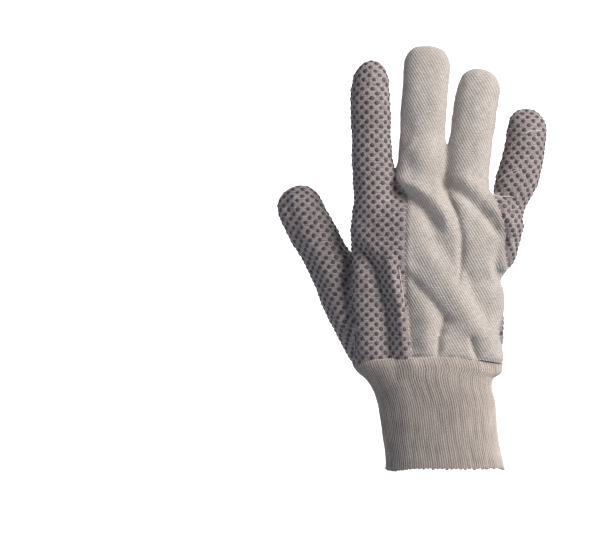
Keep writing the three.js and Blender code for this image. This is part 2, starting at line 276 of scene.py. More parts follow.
# Sections of the hand and its pieces, from the low end up, in shares of each piece's own sizes
RING_COLUMNS = ("left", "right", "back", "front")
WRIST_RING = (-0.615, 0.375, -0.53, 0.56)
HAND_SECTIONS = Profile(RING_COLUMNS, (
    (0.0, *WRIST_RING),
    (0.12, -0.604, 0.378, -0.51, 0.5),
    (0.3, -0.604, 0.385, -0.5, 0.47),
    (0.42, -0.606, 0.384, -0.49, 0.46),
    (0.49, -0.608, 0.363, -0.48, 0.45),
    (0.58, -0.61, 0.435, -0.47, 0.44),
    (0.72, -0.612, 0.49, -0.43, 0.42),
    (0.86, -0.608, 0.505, -0.37, 0.38),
    (0.95, -0.595, 0.44, -0.3, 0.33),
    (1.0, -0.55, 0.3, -0.2, 0.24),
))
CUFF_SECTIONS = Profile(RING_COLUMNS, (
    (0.0, -0.5, 0.5, -0.5, 0.5),
    (0.1, -0.497, 0.48, -0.5, 0.5),
    (0.3, -0.52, 0.445, -0.49, 0.49),
    (0.52, -0.548, 0.427, -0.48, 0.48),
    (0.66, -0.575, 0.415, -0.475, 0.48),
    (0.76, -0.61, 0.393, -0.47, 0.485),
    (0.83, -0.65, 0.398, -0.465, 0.49),
    (0.865, -0.68, 0.415, -0.46, 0.48),
    (0.895, -0.715, 0.462, -0.452, 0.465),
    (0.94, -0.75, 0.476, -0.435, 0.445),
    (1.0, -0.787, 0.48, -0.382, 0.403),
))
FINGER_SECTIONS = Profile(("wide", "deep"), (
    (-0.4, 1.06, 1.06),
    (-0.15, 1.08, 1.18),
    (0.0, 1.08, 1.12),
    (0.3, 1.0, 1.0),
    (0.65, 1.0, 0.98),
    (1.0, 1.0, 0.92),
))
LITTLE_SECTIONS = Profile(("wide", "deep"), (
    (-0.45, 0.66, 1.0),
    (-0.1, 0.76, 1.12),
    (0.04, 1.0, 1.1),
    (0.3, 1.0, 1.0),
    (1.0, 1.0, 0.92),
))
THUMB_SECTIONS = Profile(("wide", "deep"), (
    (-1.35, 1.3, 0.9),
    (-1.17, 1.36, 1.12),
    (-0.9, 1.34, 1.46),
    (-0.45, 1.2, 1.27),
    (-0.2, 1.08, 1.15),
    (0.0, 1.0, 1.04),
    (0.5, 1.0, 0.96),
    (1.0, 1.02, 0.88),
))


@dataclass(frozen=True)
class Palm:
    """The hand between the cuff and the forks of the fingers.

    Attributes:
        foot: height of the seam at the cuff.
        length: from that seam to the forks.
        width, depth: the sizes that the sections are shares of.
        roundness: how round the sections are.
        columns, rows: faces round the form and up it.
    """

    foot: float = 67 * MM
    length: float = 106 * MM
    width: float = 96 * MM
    depth: float = 36 * MM
    roundness: float = 2.5
    columns: int = 110
    rows: int = 70

    @property
    def forks(self) -> float:
        """Height of the forks of the fingers."""
        return self.foot + self.length

    def ring(self, z: np.ndarray) -> tuple[np.ndarray, ...]:
        """Return the left, right, back and front reach of the sections at given heights."""
        at = (z - self.foot) / self.length
        sizes = (self.width, self.width, self.depth, self.depth)
        return tuple(HAND_SECTIONS.read(name, at) * size for name, size in zip(RING_COLUMNS, sizes))

    def skin(self, inset: float) -> bmesh.types.BMesh:
        """Make the closed form of the hand, from below the cuff's seam, that far inside its face."""
        below = 6 * MM

        def place(turn: np.ndarray, share: np.ndarray) -> np.ndarray:
            """Return the form's points at shares round and up it."""
            z = self.foot - below + (self.length - inset + below) * share
            left, right, back, front = self.ring(z)
            across, deep = oblong(2.0 * math.pi * turn, self.roundness)
            x = (left + right) / 2 + across * ((right - left) / 2 - inset)
            return np.stack([x, deep * (np.where(deep < 0, -back, front) - inset), z], axis=1)

        return tube(self.columns, self.rows, place)

    def excess(self, points: np.ndarray) -> np.ndarray:
        """Return roughly how far points lie outside the hand's form, below nought inside it."""
        x, y, z = points.T
        left, right, back, front = self.ring(z)
        half = (right - left) / 2
        face = np.where(y < 0, -back, front)
        across = np.abs((x - (left + right) / 2) / half)
        deep = np.abs(y / face)
        radius = (across ** self.roundness + deep ** self.roundness) ** (1.0 / self.roundness)
        return np.maximum((radius - 1.0) * np.minimum(half, face), z - self.forks)


@dataclass(frozen=True)
class Digit:
    """A finger or the thumb, as a bent tube with a round tip.

    Attributes:
        length, width, depth, tip: its sizes; the tip is the length of the round end.
        root: the middle of its root.
        lean: degrees from upright, towards the little finger.
        bow: how far it bows sideways, in widths.
        lift, curl: how far it goes towards the palm, in depths, by its length and by the square of it.
        start: where its skin starts, in shares of its length.
        sections: how its width and depth run.
        levels: whether its rings turn level below the root, to meet the cuff.
        roundness: 2 for elliptic sections, and more for squarer ones.
        blunt: how square its tip is, from 2 for a round one.
        columns, rows: faces round the form and along it.
    """

    length: float
    width: float
    depth: float
    tip: float
    root: tuple[float, float, float]
    lean: float
    bow: float
    lift: float
    curl: float
    start: float
    sections: Profile = FINGER_SECTIONS
    levels: bool = False
    roundness: float = 2.15
    blunt: float = 2.0
    columns: int = 44
    rows: int = 80

    @property
    def up(self) -> np.ndarray:
        """The way from the root to the tip."""
        lean = math.radians(self.lean)
        return np.array([math.sin(lean), 0.0, math.cos(lean)])

    def tilt(self, along: np.ndarray) -> np.ndarray:
        """Return how far the rings lean at given shares of the length, in radians."""
        level_by = 0.8
        level = smooth_between(0.0, -level_by * self.start, -along) if self.levels else 0.0 * along
        return math.radians(self.lean) * (1.0 - level)

    def line(self, along: np.ndarray) -> tuple[np.ndarray, np.ndarray]:
        """Return the middle line's points and the ways across, at given shares of the length."""
        tilt = self.tilt(along)
        across = np.stack([np.cos(tilt), 0.0 * tilt, -np.sin(tilt)], axis=1)
        ahead = np.maximum(along, 0.0)
        bow = self.width * self.bow * 4.0 * ahead * (1.0 - ahead)
        middle = np.array(self.root) + np.outer(along * self.length, self.up) + across * bow[:, None]
        middle[:, 1] += self.depth * (self.lift * along + self.curl * ahead * ahead)
        return middle, across

    def halves(self, along: np.ndarray) -> tuple[np.ndarray, np.ndarray]:
        """Return the half-width and half-depth at given shares of the length."""
        wide = self.sections.read("wide", along) * self.width / 2
        return wide, self.sections.read("deep", along) * self.depth / 2

    def skin(self, inset: float) -> bmesh.types.BMesh:
        """Make the closed form of the digit, that far inside its face."""
        shaft_share = 0.7

        def place(turn: np.ndarray, share: np.ndarray) -> np.ndarray:
            """Return the form's points at shares round and along it."""
            run = np.minimum(share / shaft_share, 1.0)
            round_turn = np.clip((share - shaft_share) / (1.0 - shaft_share), 0.0, 1.0) * math.pi / 2
            shaft = self.length - self.tip
            foot = self.start * self.length
            narrow, ahead = oblong(round_turn, self.blunt)
            along = (foot + (shaft - foot) * run + (self.tip - inset) * ahead) / self.length
            middle, across = self.line(along)
            wide, deep = (half - inset for half in self.halves(along))
            side, face = oblong(2.0 * math.pi * turn, self.roundness)
            points = middle + across * (side * wide * narrow)[:, None]
            points[:, 1] += face * deep * narrow
            return points

        return tube(self.columns, self.rows, place)

    def along(self, points: np.ndarray) -> np.ndarray:
        """Return how far along the digit points lie, in shares of its length from the root."""
        rounds = 6 if self.levels else 0
        offset = points - np.array(self.root)
        share = offset @ self.up / self.length
        for _ in range(rounds):
            tilt = self.tilt(share)
            normal = np.stack([np.sin(tilt), 0.0 * tilt, np.cos(tilt)], axis=1)
            share = np.sum(offset * normal, axis=1) / (self.length * (normal @ self.up))
        return share

    def across(self, points: np.ndarray) -> np.ndarray:
        """Return how far to the little finger's side of the middle line points lie."""
        middle, across = self.line(self.along(points))
        return np.sum((points - middle) * across, axis=1)

    def excess(self, points: np.ndarray) -> np.ndarray:
        """Return roughly how far points lie outside the digit's form, below nought inside it."""
        along = self.along(points)
        middle, across = self.line(along)
        wide, deep = self.halves(along)
        side = np.abs(np.sum((points - middle) * across, axis=1) / wide)
        face = np.abs((points[:, 1] - middle[:, 1]) / deep)
        radius = (side ** self.roundness + face ** self.roundness) ** (1.0 / self.roundness)
        past = np.maximum(along * self.length - (self.length - self.tip), 0.0) / self.tip
        radius = (radius ** self.blunt + past ** self.blunt) ** (1.0 / self.blunt)
        below = (self.start - along) * self.length
        return np.maximum((radius - 1.0) * np.minimum(wide, deep), below)

    def seam_y(self, z: np.ndarray, shift: float) -> np.ndarray:
        """Return the Y of the seam along the digit's side at given heights."""
        along = np.clip((z - self.root[2]) / self.length, 0.0, 1.0)
        return self.line(along)[0][:, 1] + shift * self.depth


@dataclass(frozen=True)
class Hand:
    """The whole hand's form: the palm, four fingers and the thumb."""

    palm: Palm = Palm()

    def root(self, x: float, y: float, z: float) -> tuple[float, float, float]:
        """Return a digit's root from shares of the palm's width, depth and length."""
        return x * self.palm.width, y * self.palm.depth, self.palm.foot + z * self.palm.length

    @property
    def index(self) -> Digit:
        """The index finger."""
        return Digit(84 * MM, 25.5 * MM, 20 * MM, 21 * MM, self.root(-0.452, 0.02, 1.0),
                     lean=-1.7, bow=-0.06, lift=0.1, curl=0.3, start=-0.36)

    @property
    def middle(self) -> Digit:
        """The middle finger."""
        return Digit(93.5 * MM, 29.5 * MM, 21 * MM, 15 * MM, self.root(-0.16, -0.04, 1.0),
                     lean=3.4, bow=-0.03, lift=0.1, curl=0.35, start=-0.32, blunt=2.5)

    @property
    def ring(self) -> Digit:
        """The ring finger."""
        return Digit(79.5 * MM, 28 * MM, 20.5 * MM, 17 * MM, self.root(0.13, -0.02, 1.0),
                     lean=8.2, bow=-0.03, lift=0.15, curl=0.4, start=-0.34, blunt=2.6)

    @property
    def little(self) -> Digit:
        """The little finger."""
        return Digit(55.5 * MM, 26 * MM, 18.5 * MM, 14 * MM, self.root(0.446, 0.16, 1.0),
                     lean=11.0, bow=0.07, lift=0.15, curl=0.35, start=-0.45, sections=LITTLE_SECTIONS)

    @property
    def thumb(self) -> Digit:
        """The thumb, whose root is lower down."""
        return Digit(57 * MM, 29.5 * MM, 23 * MM, 15 * MM, self.root(-0.735, 0.4, 0.566),
                     lean=-28.5, bow=0.0, lift=0.31, curl=0.1, start=-1.35, sections=THUMB_SECTIONS,
                     levels=True, rows=100)

    @property
    def fingers(self) -> tuple[Digit, ...]:
        """The four fingers from the thumb's side."""
        return self.index, self.middle, self.ring, self.little


@dataclass(frozen=True)
class Pattern:
    """Where the cloth is cut and sewn.

    Attributes:
        index_seam, little_seam: the back panel's two edges below the forks, as shares of the palm's
            length above the cuff and of its width.
        gap_shares: where the seam passes between two fingers, in shares of the shorter one.
        tongue_seam: the thumb tongue's edge, as shares of the thumb's length and width.
        seam_shift: how far the side seams lie towards the palm, in depths of a finger.
        seam_turn: over what share of the palm's length they turn to the middle, down from the forks.
        fork_lean: degrees that the fork between the middle and the ring finger leans.
    """

    hand: Hand = Hand()
    index_seam: Line = ((-0.1, -0.215), (0.25, -0.25), (0.62, -0.268), (0.97, -0.272))
    little_seam: Line = (
        (-0.1, 0.5), (0.02, 0.44), (0.08, 0.367), (0.24, 0.364), (0.32, 0.41), (0.4, 0.5), (0.5, 0.5),
        (0.55, 0.41), (0.77, 0.385), (1.0, 0.31))
    gap_shares: tuple[float, ...] = (0.15, 0.4, 0.7, 1.0)
    tongue_seam: Profile = Profile(("across",), (
        (-1.2, 0.85), (-0.95, 0.52), (-0.64, 0.25), (-0.3, 0.03), (0.1, -0.2), (0.6, -0.42), (1.3, -0.5)))
    seam_shift: float = 0.1
    seam_turn: float = 0.25
    fork_lean: float = 4.8

    def gap(self, first: Digit, second: Digit) -> list[tuple[float, float]]:
        """Return heights and X of the middle of the gap between two fingers."""
        found = []
        for share in self.gap_shares:
            reach = share * min(first.length, second.length)
            edges = []
            for digit, side in ((first, 0.5), (second, -0.5)):
                middle, across = digit.line(np.array([reach / digit.length]))
                edges.append(middle[0] + across[0] * side * digit.width)
            point = (edges[0] + edges[1]) / 2
            found.append((float(point[2]), float(point[0])))
        return found

    def edge(self, shares: Iterable[tuple[float, float]], first: Digit, second: Digit) -> Profile:
        """Return one edge of the back panel, from the cuff up between two fingers."""
        palm = self.hand.palm
        low = [(palm.foot + z * palm.length, x * palm.width) for z, x in shares]
        return Profile(("x",), tuple(low + self.gap(first, second)))

    def left(self, z: np.ndarray) -> np.ndarray:
        """Return the X of the back panel's edge by the index finger."""
        return self.edge(self.index_seam, self.hand.index, self.hand.middle).read("x", z)

    def right(self, z: np.ndarray) -> np.ndarray:
        """Return the X of the back panel's edge by the little finger."""
        return self.edge(self.little_seam, self.hand.ring, self.hand.little).read("x", z)

    def seam_y(self, x: np.ndarray, z: np.ndarray) -> np.ndarray:
        """Return the Y of the side seams, which follow the middle lines of the fingers."""
        hand, forks = self.hand, self.hand.palm.forks
        heights = [finger.seam_y(z, self.seam_shift) for finger in hand.fingers]
        fork = (hand.middle.root[0] + hand.ring.root[0]) / 2
        fork = fork + (z - forks) * math.tan(math.radians(self.fork_lean))
        soft = 3 * MM
        height = heights[0]
        for line, after, before in zip((self.left(z), fork, self.right(z)), heights[1:], heights):
            height = height + (after - before) * smooth_between(-soft, soft, x - line)
        return height * smooth_between(forks - self.seam_turn * hand.palm.length, forks, z)

    def on_thumb(self, points: np.ndarray) -> np.ndarray:
        """Return a value above nought where points belong to the thumb."""
        others = np.min([form.excess(points) for form in (self.hand.palm, *self.hand.fingers)], axis=0)
        return others - self.hand.thumb.excess(points)

    def on_back(self, points: np.ndarray) -> np.ndarray:
        """Return a value above nought where points belong to the back panel."""
        x, y, z = points.T
        return np.min([x - self.left(z), self.right(z) - x, self.seam_y(x, z) - y], axis=0)

    def on_tongue(self, points: np.ndarray) -> np.ndarray:
        """Return a value above nought where points of the thumb belong to its tongue."""
        thumb = self.hand.thumb
        offset = points - np.array(thumb.root)
        along = offset @ thumb.up / thumb.length
        across = offset @ np.array([thumb.up[2], 0.0, -thumb.up[0]])
        edge = self.tongue_seam.read("across", along) * thumb.width
        middle = thumb.line(along)[0][:, 1] + self.seam_shift * thumb.depth
        return np.min([across - edge, points[:, 1] - middle], axis=0)

    def closing(self, points: np.ndarray, digit: Digit, inwards: float) -> np.ndarray:
        """Return the height over the seam that closes a wrapped finger on its inner side.

        Args:
            points: where it is wanted.
            digit: the wrapped finger.
            inwards: 1 if its inner side faces the little finger's side, or -1.

        Returns:
            The height in Y, and no number where the seam doesn't run.
        """
        x, y, z = points.T
        height = y - self.seam_y(x, z)
        margin, past_middle, above_forks = 6 * MM, 0.3, 0.02
        low = self.hand.palm.forks + above_forks * digit.length - margin
        near = (digit.excess(points) < margin) & (z > low)
        inner = digit.across(points) * inwards > -past_middle * digit.width
        return np.where(near & inner, height, np.nan)

    def cut(self, points: np.ndarray) -> np.ndarray:
        """Return the number of the cut that each point belongs to."""
        on_thumb = self.on_thumb(points) > 0
        on_tongue = self.on_tongue(points) > 0
        on_back = self.on_back(points) > 0
        cuts = np.where(on_back, Cut.BACK.value, Cut.PALM.value)
        return np.where(on_thumb, np.where(on_tongue, Cut.TONGUE.value, Cut.THUMB.value), cuts)


def arched(points: np.ndarray, hand: Hand) -> np.ndarray:
    """Raise the cloth about the cuff's seam in a low arch over the back of the hand.

    Args:
        points: places on the cloth or the knit.
        hand: the hand's form.

    Returns:
        The raised places.
    """
    height, reach, flatness, turn = 4.2 * MM, 13 * MM, 2.5, 0.25
    palm = hand.palm
    left, right = (share * palm.width for share in WRIST_RING[:2])
    aside = np.clip(np.abs((points[:, 0] - (left + right) / 2) / ((right - left) / 2)), 0.0, 1.0)
    behind = smooth_between(0.0, turn * palm.depth, -points[:, 1])
    near = np.exp(-(((points[:, 2] - palm.foot) / reach) ** 2))
    raised = points.copy()
    raised[:, 2] += height * (1.0 - aside ** flatness) * behind * near
    return raised


@dataclass(frozen=True)
class Fold:
    """A fold of the cloth along a line, on one broad side of the hand.

    Attributes:
        side: the side of the hand.
        line: X and Z of its points from the top down, in mm.
        rise: its height in mm, below nought for a valley.
        left, right: breadth in mm of its flanks, towards -X and +X.
        sharp: 2 for a round crest, and less for a sharper one.
        run_out: length in mm over which its ends fade.
    """

    side: Side
    line: Line
    rise: float
    left: float
    right: float
    sharp: float = 2.0
    run_out: float = 12.0

    def rise_at(self, points: np.ndarray) -> np.ndarray:
        """Return how high the fold stands at points of the hand, in metres."""
        steps, fade_from = 24, -0.3
        knots = Profile(("x", "z"), tuple((float(i), x, z) for i, (x, z) in enumerate(self.line)))
        run = np.linspace(0.0, len(self.line) - 1.0, steps + 1)
        x, z = knots.read("x", run), knots.read("z", run)
        start = np.stack([x[:-1], z[:-1]], axis=1)
        step = np.stack([np.diff(x), np.diff(z)], axis=1)
        length = np.hypot(step[:, 0], step[:, 1])
        here = points[:, None, [0, 2]] / MM - start[None]
        share = np.sum(here * step[None], axis=2) / (length * length)[None]
        low = np.where(np.arange(steps) == 0, -np.inf, 0.0)
        high = np.where(np.arange(steps) == steps - 1, np.inf, 1.0)
        off = here - np.clip(share, low, high)[:, :, None] * step[None]
        distance = np.hypot(off[:, :, 0], off[:, :, 1])
        nearest = np.argmin(distance, axis=1)
        row = np.arange(len(points))
        turn = step[nearest, 0] * here[row, nearest, 1] - step[nearest, 1] * here[row, nearest, 0]
        flank = np.where(turn > 0, self.right, self.left)
        bump = np.exp(-(distance[row, nearest] / flank) ** self.sharp)
        share, length = share[row, nearest], length[nearest]
        past = np.where(nearest == 0, -share * length, -np.inf)
        past = np.maximum(past, np.where(nearest == steps - 1, (share - 1.0) * length, -np.inf))
        faded = smooth_between(fade_from * self.run_out, self.run_out, past)
        return self.rise * MM * bump * (1.0 - faded)


# Folds that show on the hand and on the cuff, with lines and sizes in mm
FOLDS = (
    Fold(Side.BACK, ((-30, 173), (-20, 168), (-12, 160), (-6.5, 153)), -4.4, 6.0, 3.6, 1.6, 9.0),
    Fold(Side.BACK, ((-27, 181), (-15, 174), (-5, 164), (0.5, 154)), 2.6, 4.0, 5.5, 1.7, 14.0),
    Fold(Side.BACK, ((-0.5, 179), (2, 170), (5.5, 163), (8, 154), (10, 144), (9.5, 132), (8, 120)),
         -2.6, 3.2, 1.7, 1.2, 9.0),
    Fold(Side.BACK, ((4, 176), (18, 165), (32, 149)), -3.0, 3.6, 4.2, 1.6),
    Fold(Side.BACK, ((12, 180), (25, 168), (37, 154)), 1.6, 4.0, 5.0),
    Fold(Side.BACK, ((-8, 144), (2, 132)), -2.4, 7.0, 6.0),
    Fold(Side.BACK, ((10, 136), (13.5, 120), (18.5, 107), (26, 92)), -2.6, 3.4, 9.0, 1.7),
    Fold(Side.BACK, ((-13, 139), (3, 113), (16, 91), (33, 69)), 2.2, 7.0, 7.0),
    Fold(Side.BACK, ((-20, 118), (-11, 108), (-2, 97)), -2.6, 4.0, 2.6, 1.5),
    Fold(Side.BACK, ((-1, 94), (-4.5, 84), (-5.5, 70)), -3.2, 1.6, 2.8, 1.4, 5.0),
    Fold(Side.BACK, ((-26, 116), (-23.5, 98), (-21, 71)), -3.2, 3.0, 6.5, 1.6),
    Fold(Side.BACK, ((-11, 96), (-13, 72)), 1.2, 6.0, 4.0),
    Fold(Side.BACK, ((15, 81), (18, 69)), -2.9, 1.6, 2.4, 1.4, 5.0),
    Fold(Side.BACK, ((34, 139), (31, 128), (35, 120)), -2.6, 3.5, 3.5),
    Fold(Side.BACK, ((-24, 219), (-23, 207)), -1.5, 4.0, 5.0),
    Fold(Side.BACK, ((-31, 192), (-26, 198), (-20, 205)), 1.0, 2.4, 2.4, 2.0, 4.0),
    Fold(Side.BACK, ((-24, 196), (-22, 187)), -1.5, 4.0, 5.0),
    Fold(Side.BACK, ((-57, 140), (-48, 131), (-42, 116), (-37.5, 98), (-36, 70)), -5.0, 5.0, 3.6, 1.6),
    Fold(Side.BACK, ((-35, 130), (-31.5, 113), (-28, 98), (-25, 72)), 2.4, 3.4, 3.4),
    Fold(Side.BACK, ((-55.5, 126), (-54.8, 112), (-53.8, 94), (-51.8, 74)), 1.6, 2.4, 6.0, 1.8, 8.0),
    Fold(Side.BACK, ((-61, 126), (-61, 112), (-60, 94), (-58, 76)), -2.4, 4.5, 2.4, 1.8, 8.0),
    Fold(Side.BACK, ((-100, 168), (-95.5, 156), (-92, 143.5), (-85, 130), (-78.5, 117)),
         -1.3, 3.0, 4.5, 1.8),
    Fold(Side.PALM, ((-54, 128), (-36, 103), (-31, 83)), -2.6, 5.0, 6.0, 1.6),
    Fold(Side.PALM, ((-27, 170), (-52, 129)), 1.8, 6.0, 6.0),
    Fold(Side.PALM, ((25, 157), (44, 130)), -2.2, 5.0, 5.0, 1.7),
    Fold(Side.PALM, ((-16, 151), (16, 102)), -1.6, 9.0, 9.0),
)
CUFF_FOLDS = (
    Fold(Side.BACK, ((-33, 72), (-31, 57)), -1.5, 4.0, 4.5, 1.7, 6.0),
    Fold(Side.BACK, ((-21.5, 72), (-21, 63)), 1.1, 3.0, 3.0, 2.0, 5.0),
    Fold(Side.BACK, ((20, 70), (29, 62), (36, 57)), -1.2, 3.5, 3.5, 1.8, 5.0),
    Fold(Side.BACK, ((-37, 50), (-34, 30), (-33, 6)), -0.7, 2.5, 4.0, 1.8),
    Fold(Side.BACK, ((-14, 44), (-15, 8)), -0.7, 7.0, 7.0),
)


@dataclass(frozen=True)
class Skin:
    """The hand's whole cloth surface, before it is cut into panels.

    Attributes:
        inset: how far inside the cloth's face the forms are melted, which keeps narrow forks open.
        voxel: width of the grid that melts the forms together.
        rounds: how many times the melted skin is smoothed.
        snap: how near a seam a vertex counts as on it.
        seam_depth, seam_reach: how deep and how broad the valley of a seam is.
        hem_depth, hem_reach: the same for the edge at the cuff.
        lap: how far the cloth reaches below the cuff's seam.
        pucker, pucker_reach, pucker_size: height of the small bulges beside the seams, how far from a
            seam they go, and their size.
        crumple, ripple: height and size of the cloth's two uneven waves.
        seed: shifts the waves.
    """

    pattern: Pattern = Pattern()
    inset: float = 1.2 * MM
    voxel: float = 2.0 * MM
    rounds: int = 3
    snap: float = 0.12 * MM
    seam_depth: float = 1.0 * MM
    seam_reach: float = 1.6 * MM
    hem_depth: float = 0.8 * MM
    hem_reach: float = 1.4 * MM
    lap: float = 0.3 * MM
    pucker: float = 0.45 * MM
    pucker_reach: float = 4.0 * MM
    pucker_size: float = 4.5 * MM
    crumple: tuple[float, float] = (0.8 * MM, 15 * MM)
    ripple: tuple[float, float] = (0.3 * MM, 5 * MM)
    seed: float = 3.7

    def melted(self) -> bpy.types.Mesh:
        """Melt the palm, the fingers and the thumb into one smooth skin, open at the cuff."""
        hand = self.pattern.hand
        whole = bmesh.new()
        for form in (hand.palm, *hand.fingers, hand.thumb):
            part = mesh_of(form.skin(self.inset), "form")
            whole.from_mesh(part)
        obj = object_of(mesh_of(whole, "forms"), "forms")
        remesh = obj.modifiers.new("melt", "REMESH")
        remesh.mode = "VOXEL"
        remesh.voxel_size = self.voxel
        smooth = obj.modifiers.new("smooth", "SMOOTH")
        smooth.factor = 0.5
        smooth.iterations = self.rounds
        return baked(obj)

    def cut_open(self, mesh: bpy.types.Mesh) -> bmesh.types.BMesh:
        """Cut the skin off at the cuff's seam and take the part below away."""
        bm = bmesh.new()
        bm.from_mesh(mesh)
        bmesh.ops.bisect_plane(bm, geom=[*bm.verts, *bm.edges, *bm.faces], dist=0.01 * MM,
                               plane_co=(0, 0, self.pattern.hand.palm.foot - self.lap),
                               plane_no=(0, 0, 1), clear_inner=True)
        return bm

    def score(self, bm: bmesh.types.BMesh, values: Callable[[np.ndarray], np.ndarray]) -> None:
        """Cut the faces along the line where values are nought, and mark it as a seam.

        Args:
            bm: the skin.
            values: gives a number for each point, and no number where nothing is cut.
        """
        bm.verts.index_update()
        at = values(np.array([vert.co for vert in bm.verts]))
        at[np.abs(at) < self.snap] = 0.0
        crossings = []
        for edge in bm.edges:
            first, second = edge.verts
            a, b = at[first.index], at[second.index]
            if a * b < 0:
                crossings.append((edge, first, a / (a - b)))
        on_line = [vert for vert in bm.verts if at[vert.index] == 0.0]
        for edge, vert, share in crossings:
            on_line.append(bmesh.utils.edge_split(edge, vert, share)[1])
        bmesh.ops.connect_verts(bm, verts=on_line)
        marked = set(on_line)
        for edge in bm.edges:
            if edge.verts[0] in marked and edge.verts[1] in marked:
                edge.seam = True

    def cut_panels(self, bm: bmesh.types.BMesh) -> None:
        """Score every seam and number each face by the panel that it belongs to."""
        pattern, hand = self.pattern, self.pattern.hand
        over = 0.2 * MM

        def back_only(points: np.ndarray) -> np.ndarray:
            """Give the back panel's edge outside the thumb."""
            return np.where(pattern.on_thumb(points) < 0, pattern.on_back(points), np.nan)

        def tongue_only(points: np.ndarray) -> np.ndarray:
            """Give the tongue's edge on the thumb, and a little beyond it."""
            return np.where(pattern.on_thumb(points) > -over, pattern.on_tongue(points), np.nan)

        def index_closing(points: np.ndarray) -> np.ndarray:
            """Give the seam that closes the index finger."""
            return pattern.closing(points, hand.index, 1.0)

        def little_closing(points: np.ndarray) -> np.ndarray:
            """Give the seam that closes the little finger."""
            return pattern.closing(points, hand.little, -1.0)

        for values in (pattern.on_thumb, back_only, tongue_only, index_closing, little_closing):
            self.score(bm, values)
        panel = bm.faces.layers.int.new("panel")
        middles = np.array([face.calc_center_median() for face in bm.faces])
        for face, cut in zip(bm.faces, pattern.cut(middles)):
            face[panel] = int(cut)
        for edge in bm.edges:
            cuts = {face[panel] for face in edge.link_faces}
            closing = edge.seam and cuts == {Cut.PALM.value}
            edge.seam = len(cuts) > 1 or (closing and self.closes(edge))

    def closes(self, edge: bmesh.types.BMEdge) -> bool:
        """Tell whether an edge lies on the seam that closes a wrapped finger."""
        points = np.array([vert.co for vert in edge.verts])
        hand = self.pattern.hand
        for digit, inwards in ((hand.index, 1.0), (hand.little, -1.0)):
            if np.all(np.abs(self.pattern.closing(points, digit, inwards)) < self.snap * 2):
                return True
        return False

    def refined(self, mesh: bpy.types.Mesh) -> bpy.types.Mesh:
        """Divide every face in four, smoothly."""
        obj = object_of(mesh, "skin")
        finer = obj.modifiers.new("finer", "SUBSURF")
        finer.levels = finer.render_levels = 1
        return baked(obj)

    def near_seam(self, mesh: bpy.types.Mesh) -> np.ndarray:
        """Return how far each vertex lies from the nearest seam."""
        verts = mesh.vertices
        ends = [[verts[i].co.copy() for i in edge.vertices] for edge in mesh.edges if edge.use_seam]
        marks = [mark for first, second in ends for mark in (first, second, (first + second) / 2)]
        tree = KDTree(len(marks))
        for i, mark in enumerate(marks):
            tree.insert(mark, i)
        tree.balance()
        return np.array([tree.find(vert.co)[2] for vert in verts])

    def waves(self, points: np.ndarray, size: float) -> np.ndarray:
        """Return uneven waves from -1 to 1 of a given size."""
        shift = Vector((self.seed, self.seed, self.seed))
        return np.array([noise.noise(Vector(point) / size + shift) for point in points])

    def relief(self, points: np.ndarray, normals: np.ndarray, near: np.ndarray) -> np.ndarray:
        """Return how far the cloth stands off its plain form at each vertex."""
        edge_on, facing = 0.05, 0.6
        faces = {side: smooth_between(edge_on, facing, side.value * normals[:, 1]) for side in Side}
        rise = np.zeros(len(points))
        for fold in FOLDS:
            rise += fold.rise_at(points) * faces[fold.side]
        for height, size in (self.crumple, self.ripple):
            rise += height * self.waves(points, size)
        rise += self.pucker * self.waves(points, self.pucker_size) * np.exp(-near / self.pucker_reach)
        hem = np.exp(-(((points[:, 2] - self.pattern.hand.palm.foot) / self.hem_reach) ** 2))
        seam = np.exp(-((near / self.seam_reach) ** 2))
        return self.inset + rise - self.hem_depth * hem - self.seam_depth * seam

    def build(self) -> bpy.types.Mesh:
        """Make the finished skin, with each face numbered by its panel.

        Returns:
            A mesh with the face attribute panel, the vertex attribute seam, which the cloth's colour uses
            as painted shade at the seams, and the seams marked.
        """
        bm = self.cut_open(self.melted())
        self.cut_panels(bm)
        mesh = self.refined(mesh_of(bm, "skin"))
        near = self.near_seam(mesh)
        # Nearness to a seam, which the cloth's colour later uses as painted shade in the seams' grooves
        shade = mesh.attributes.new("seam", "FLOAT", "POINT")
        shade.data.foreach_set("value", np.exp(-((near / SEAM_SHADE) ** 2)).astype(np.float32))
        points, normals = coordinates(mesh), vertex_normals(mesh)
        moved = points + normals * self.relief(points, normals, near)[:, None]
        set_coordinates(mesh, arched(moved, self.pattern.hand))
        return mesh


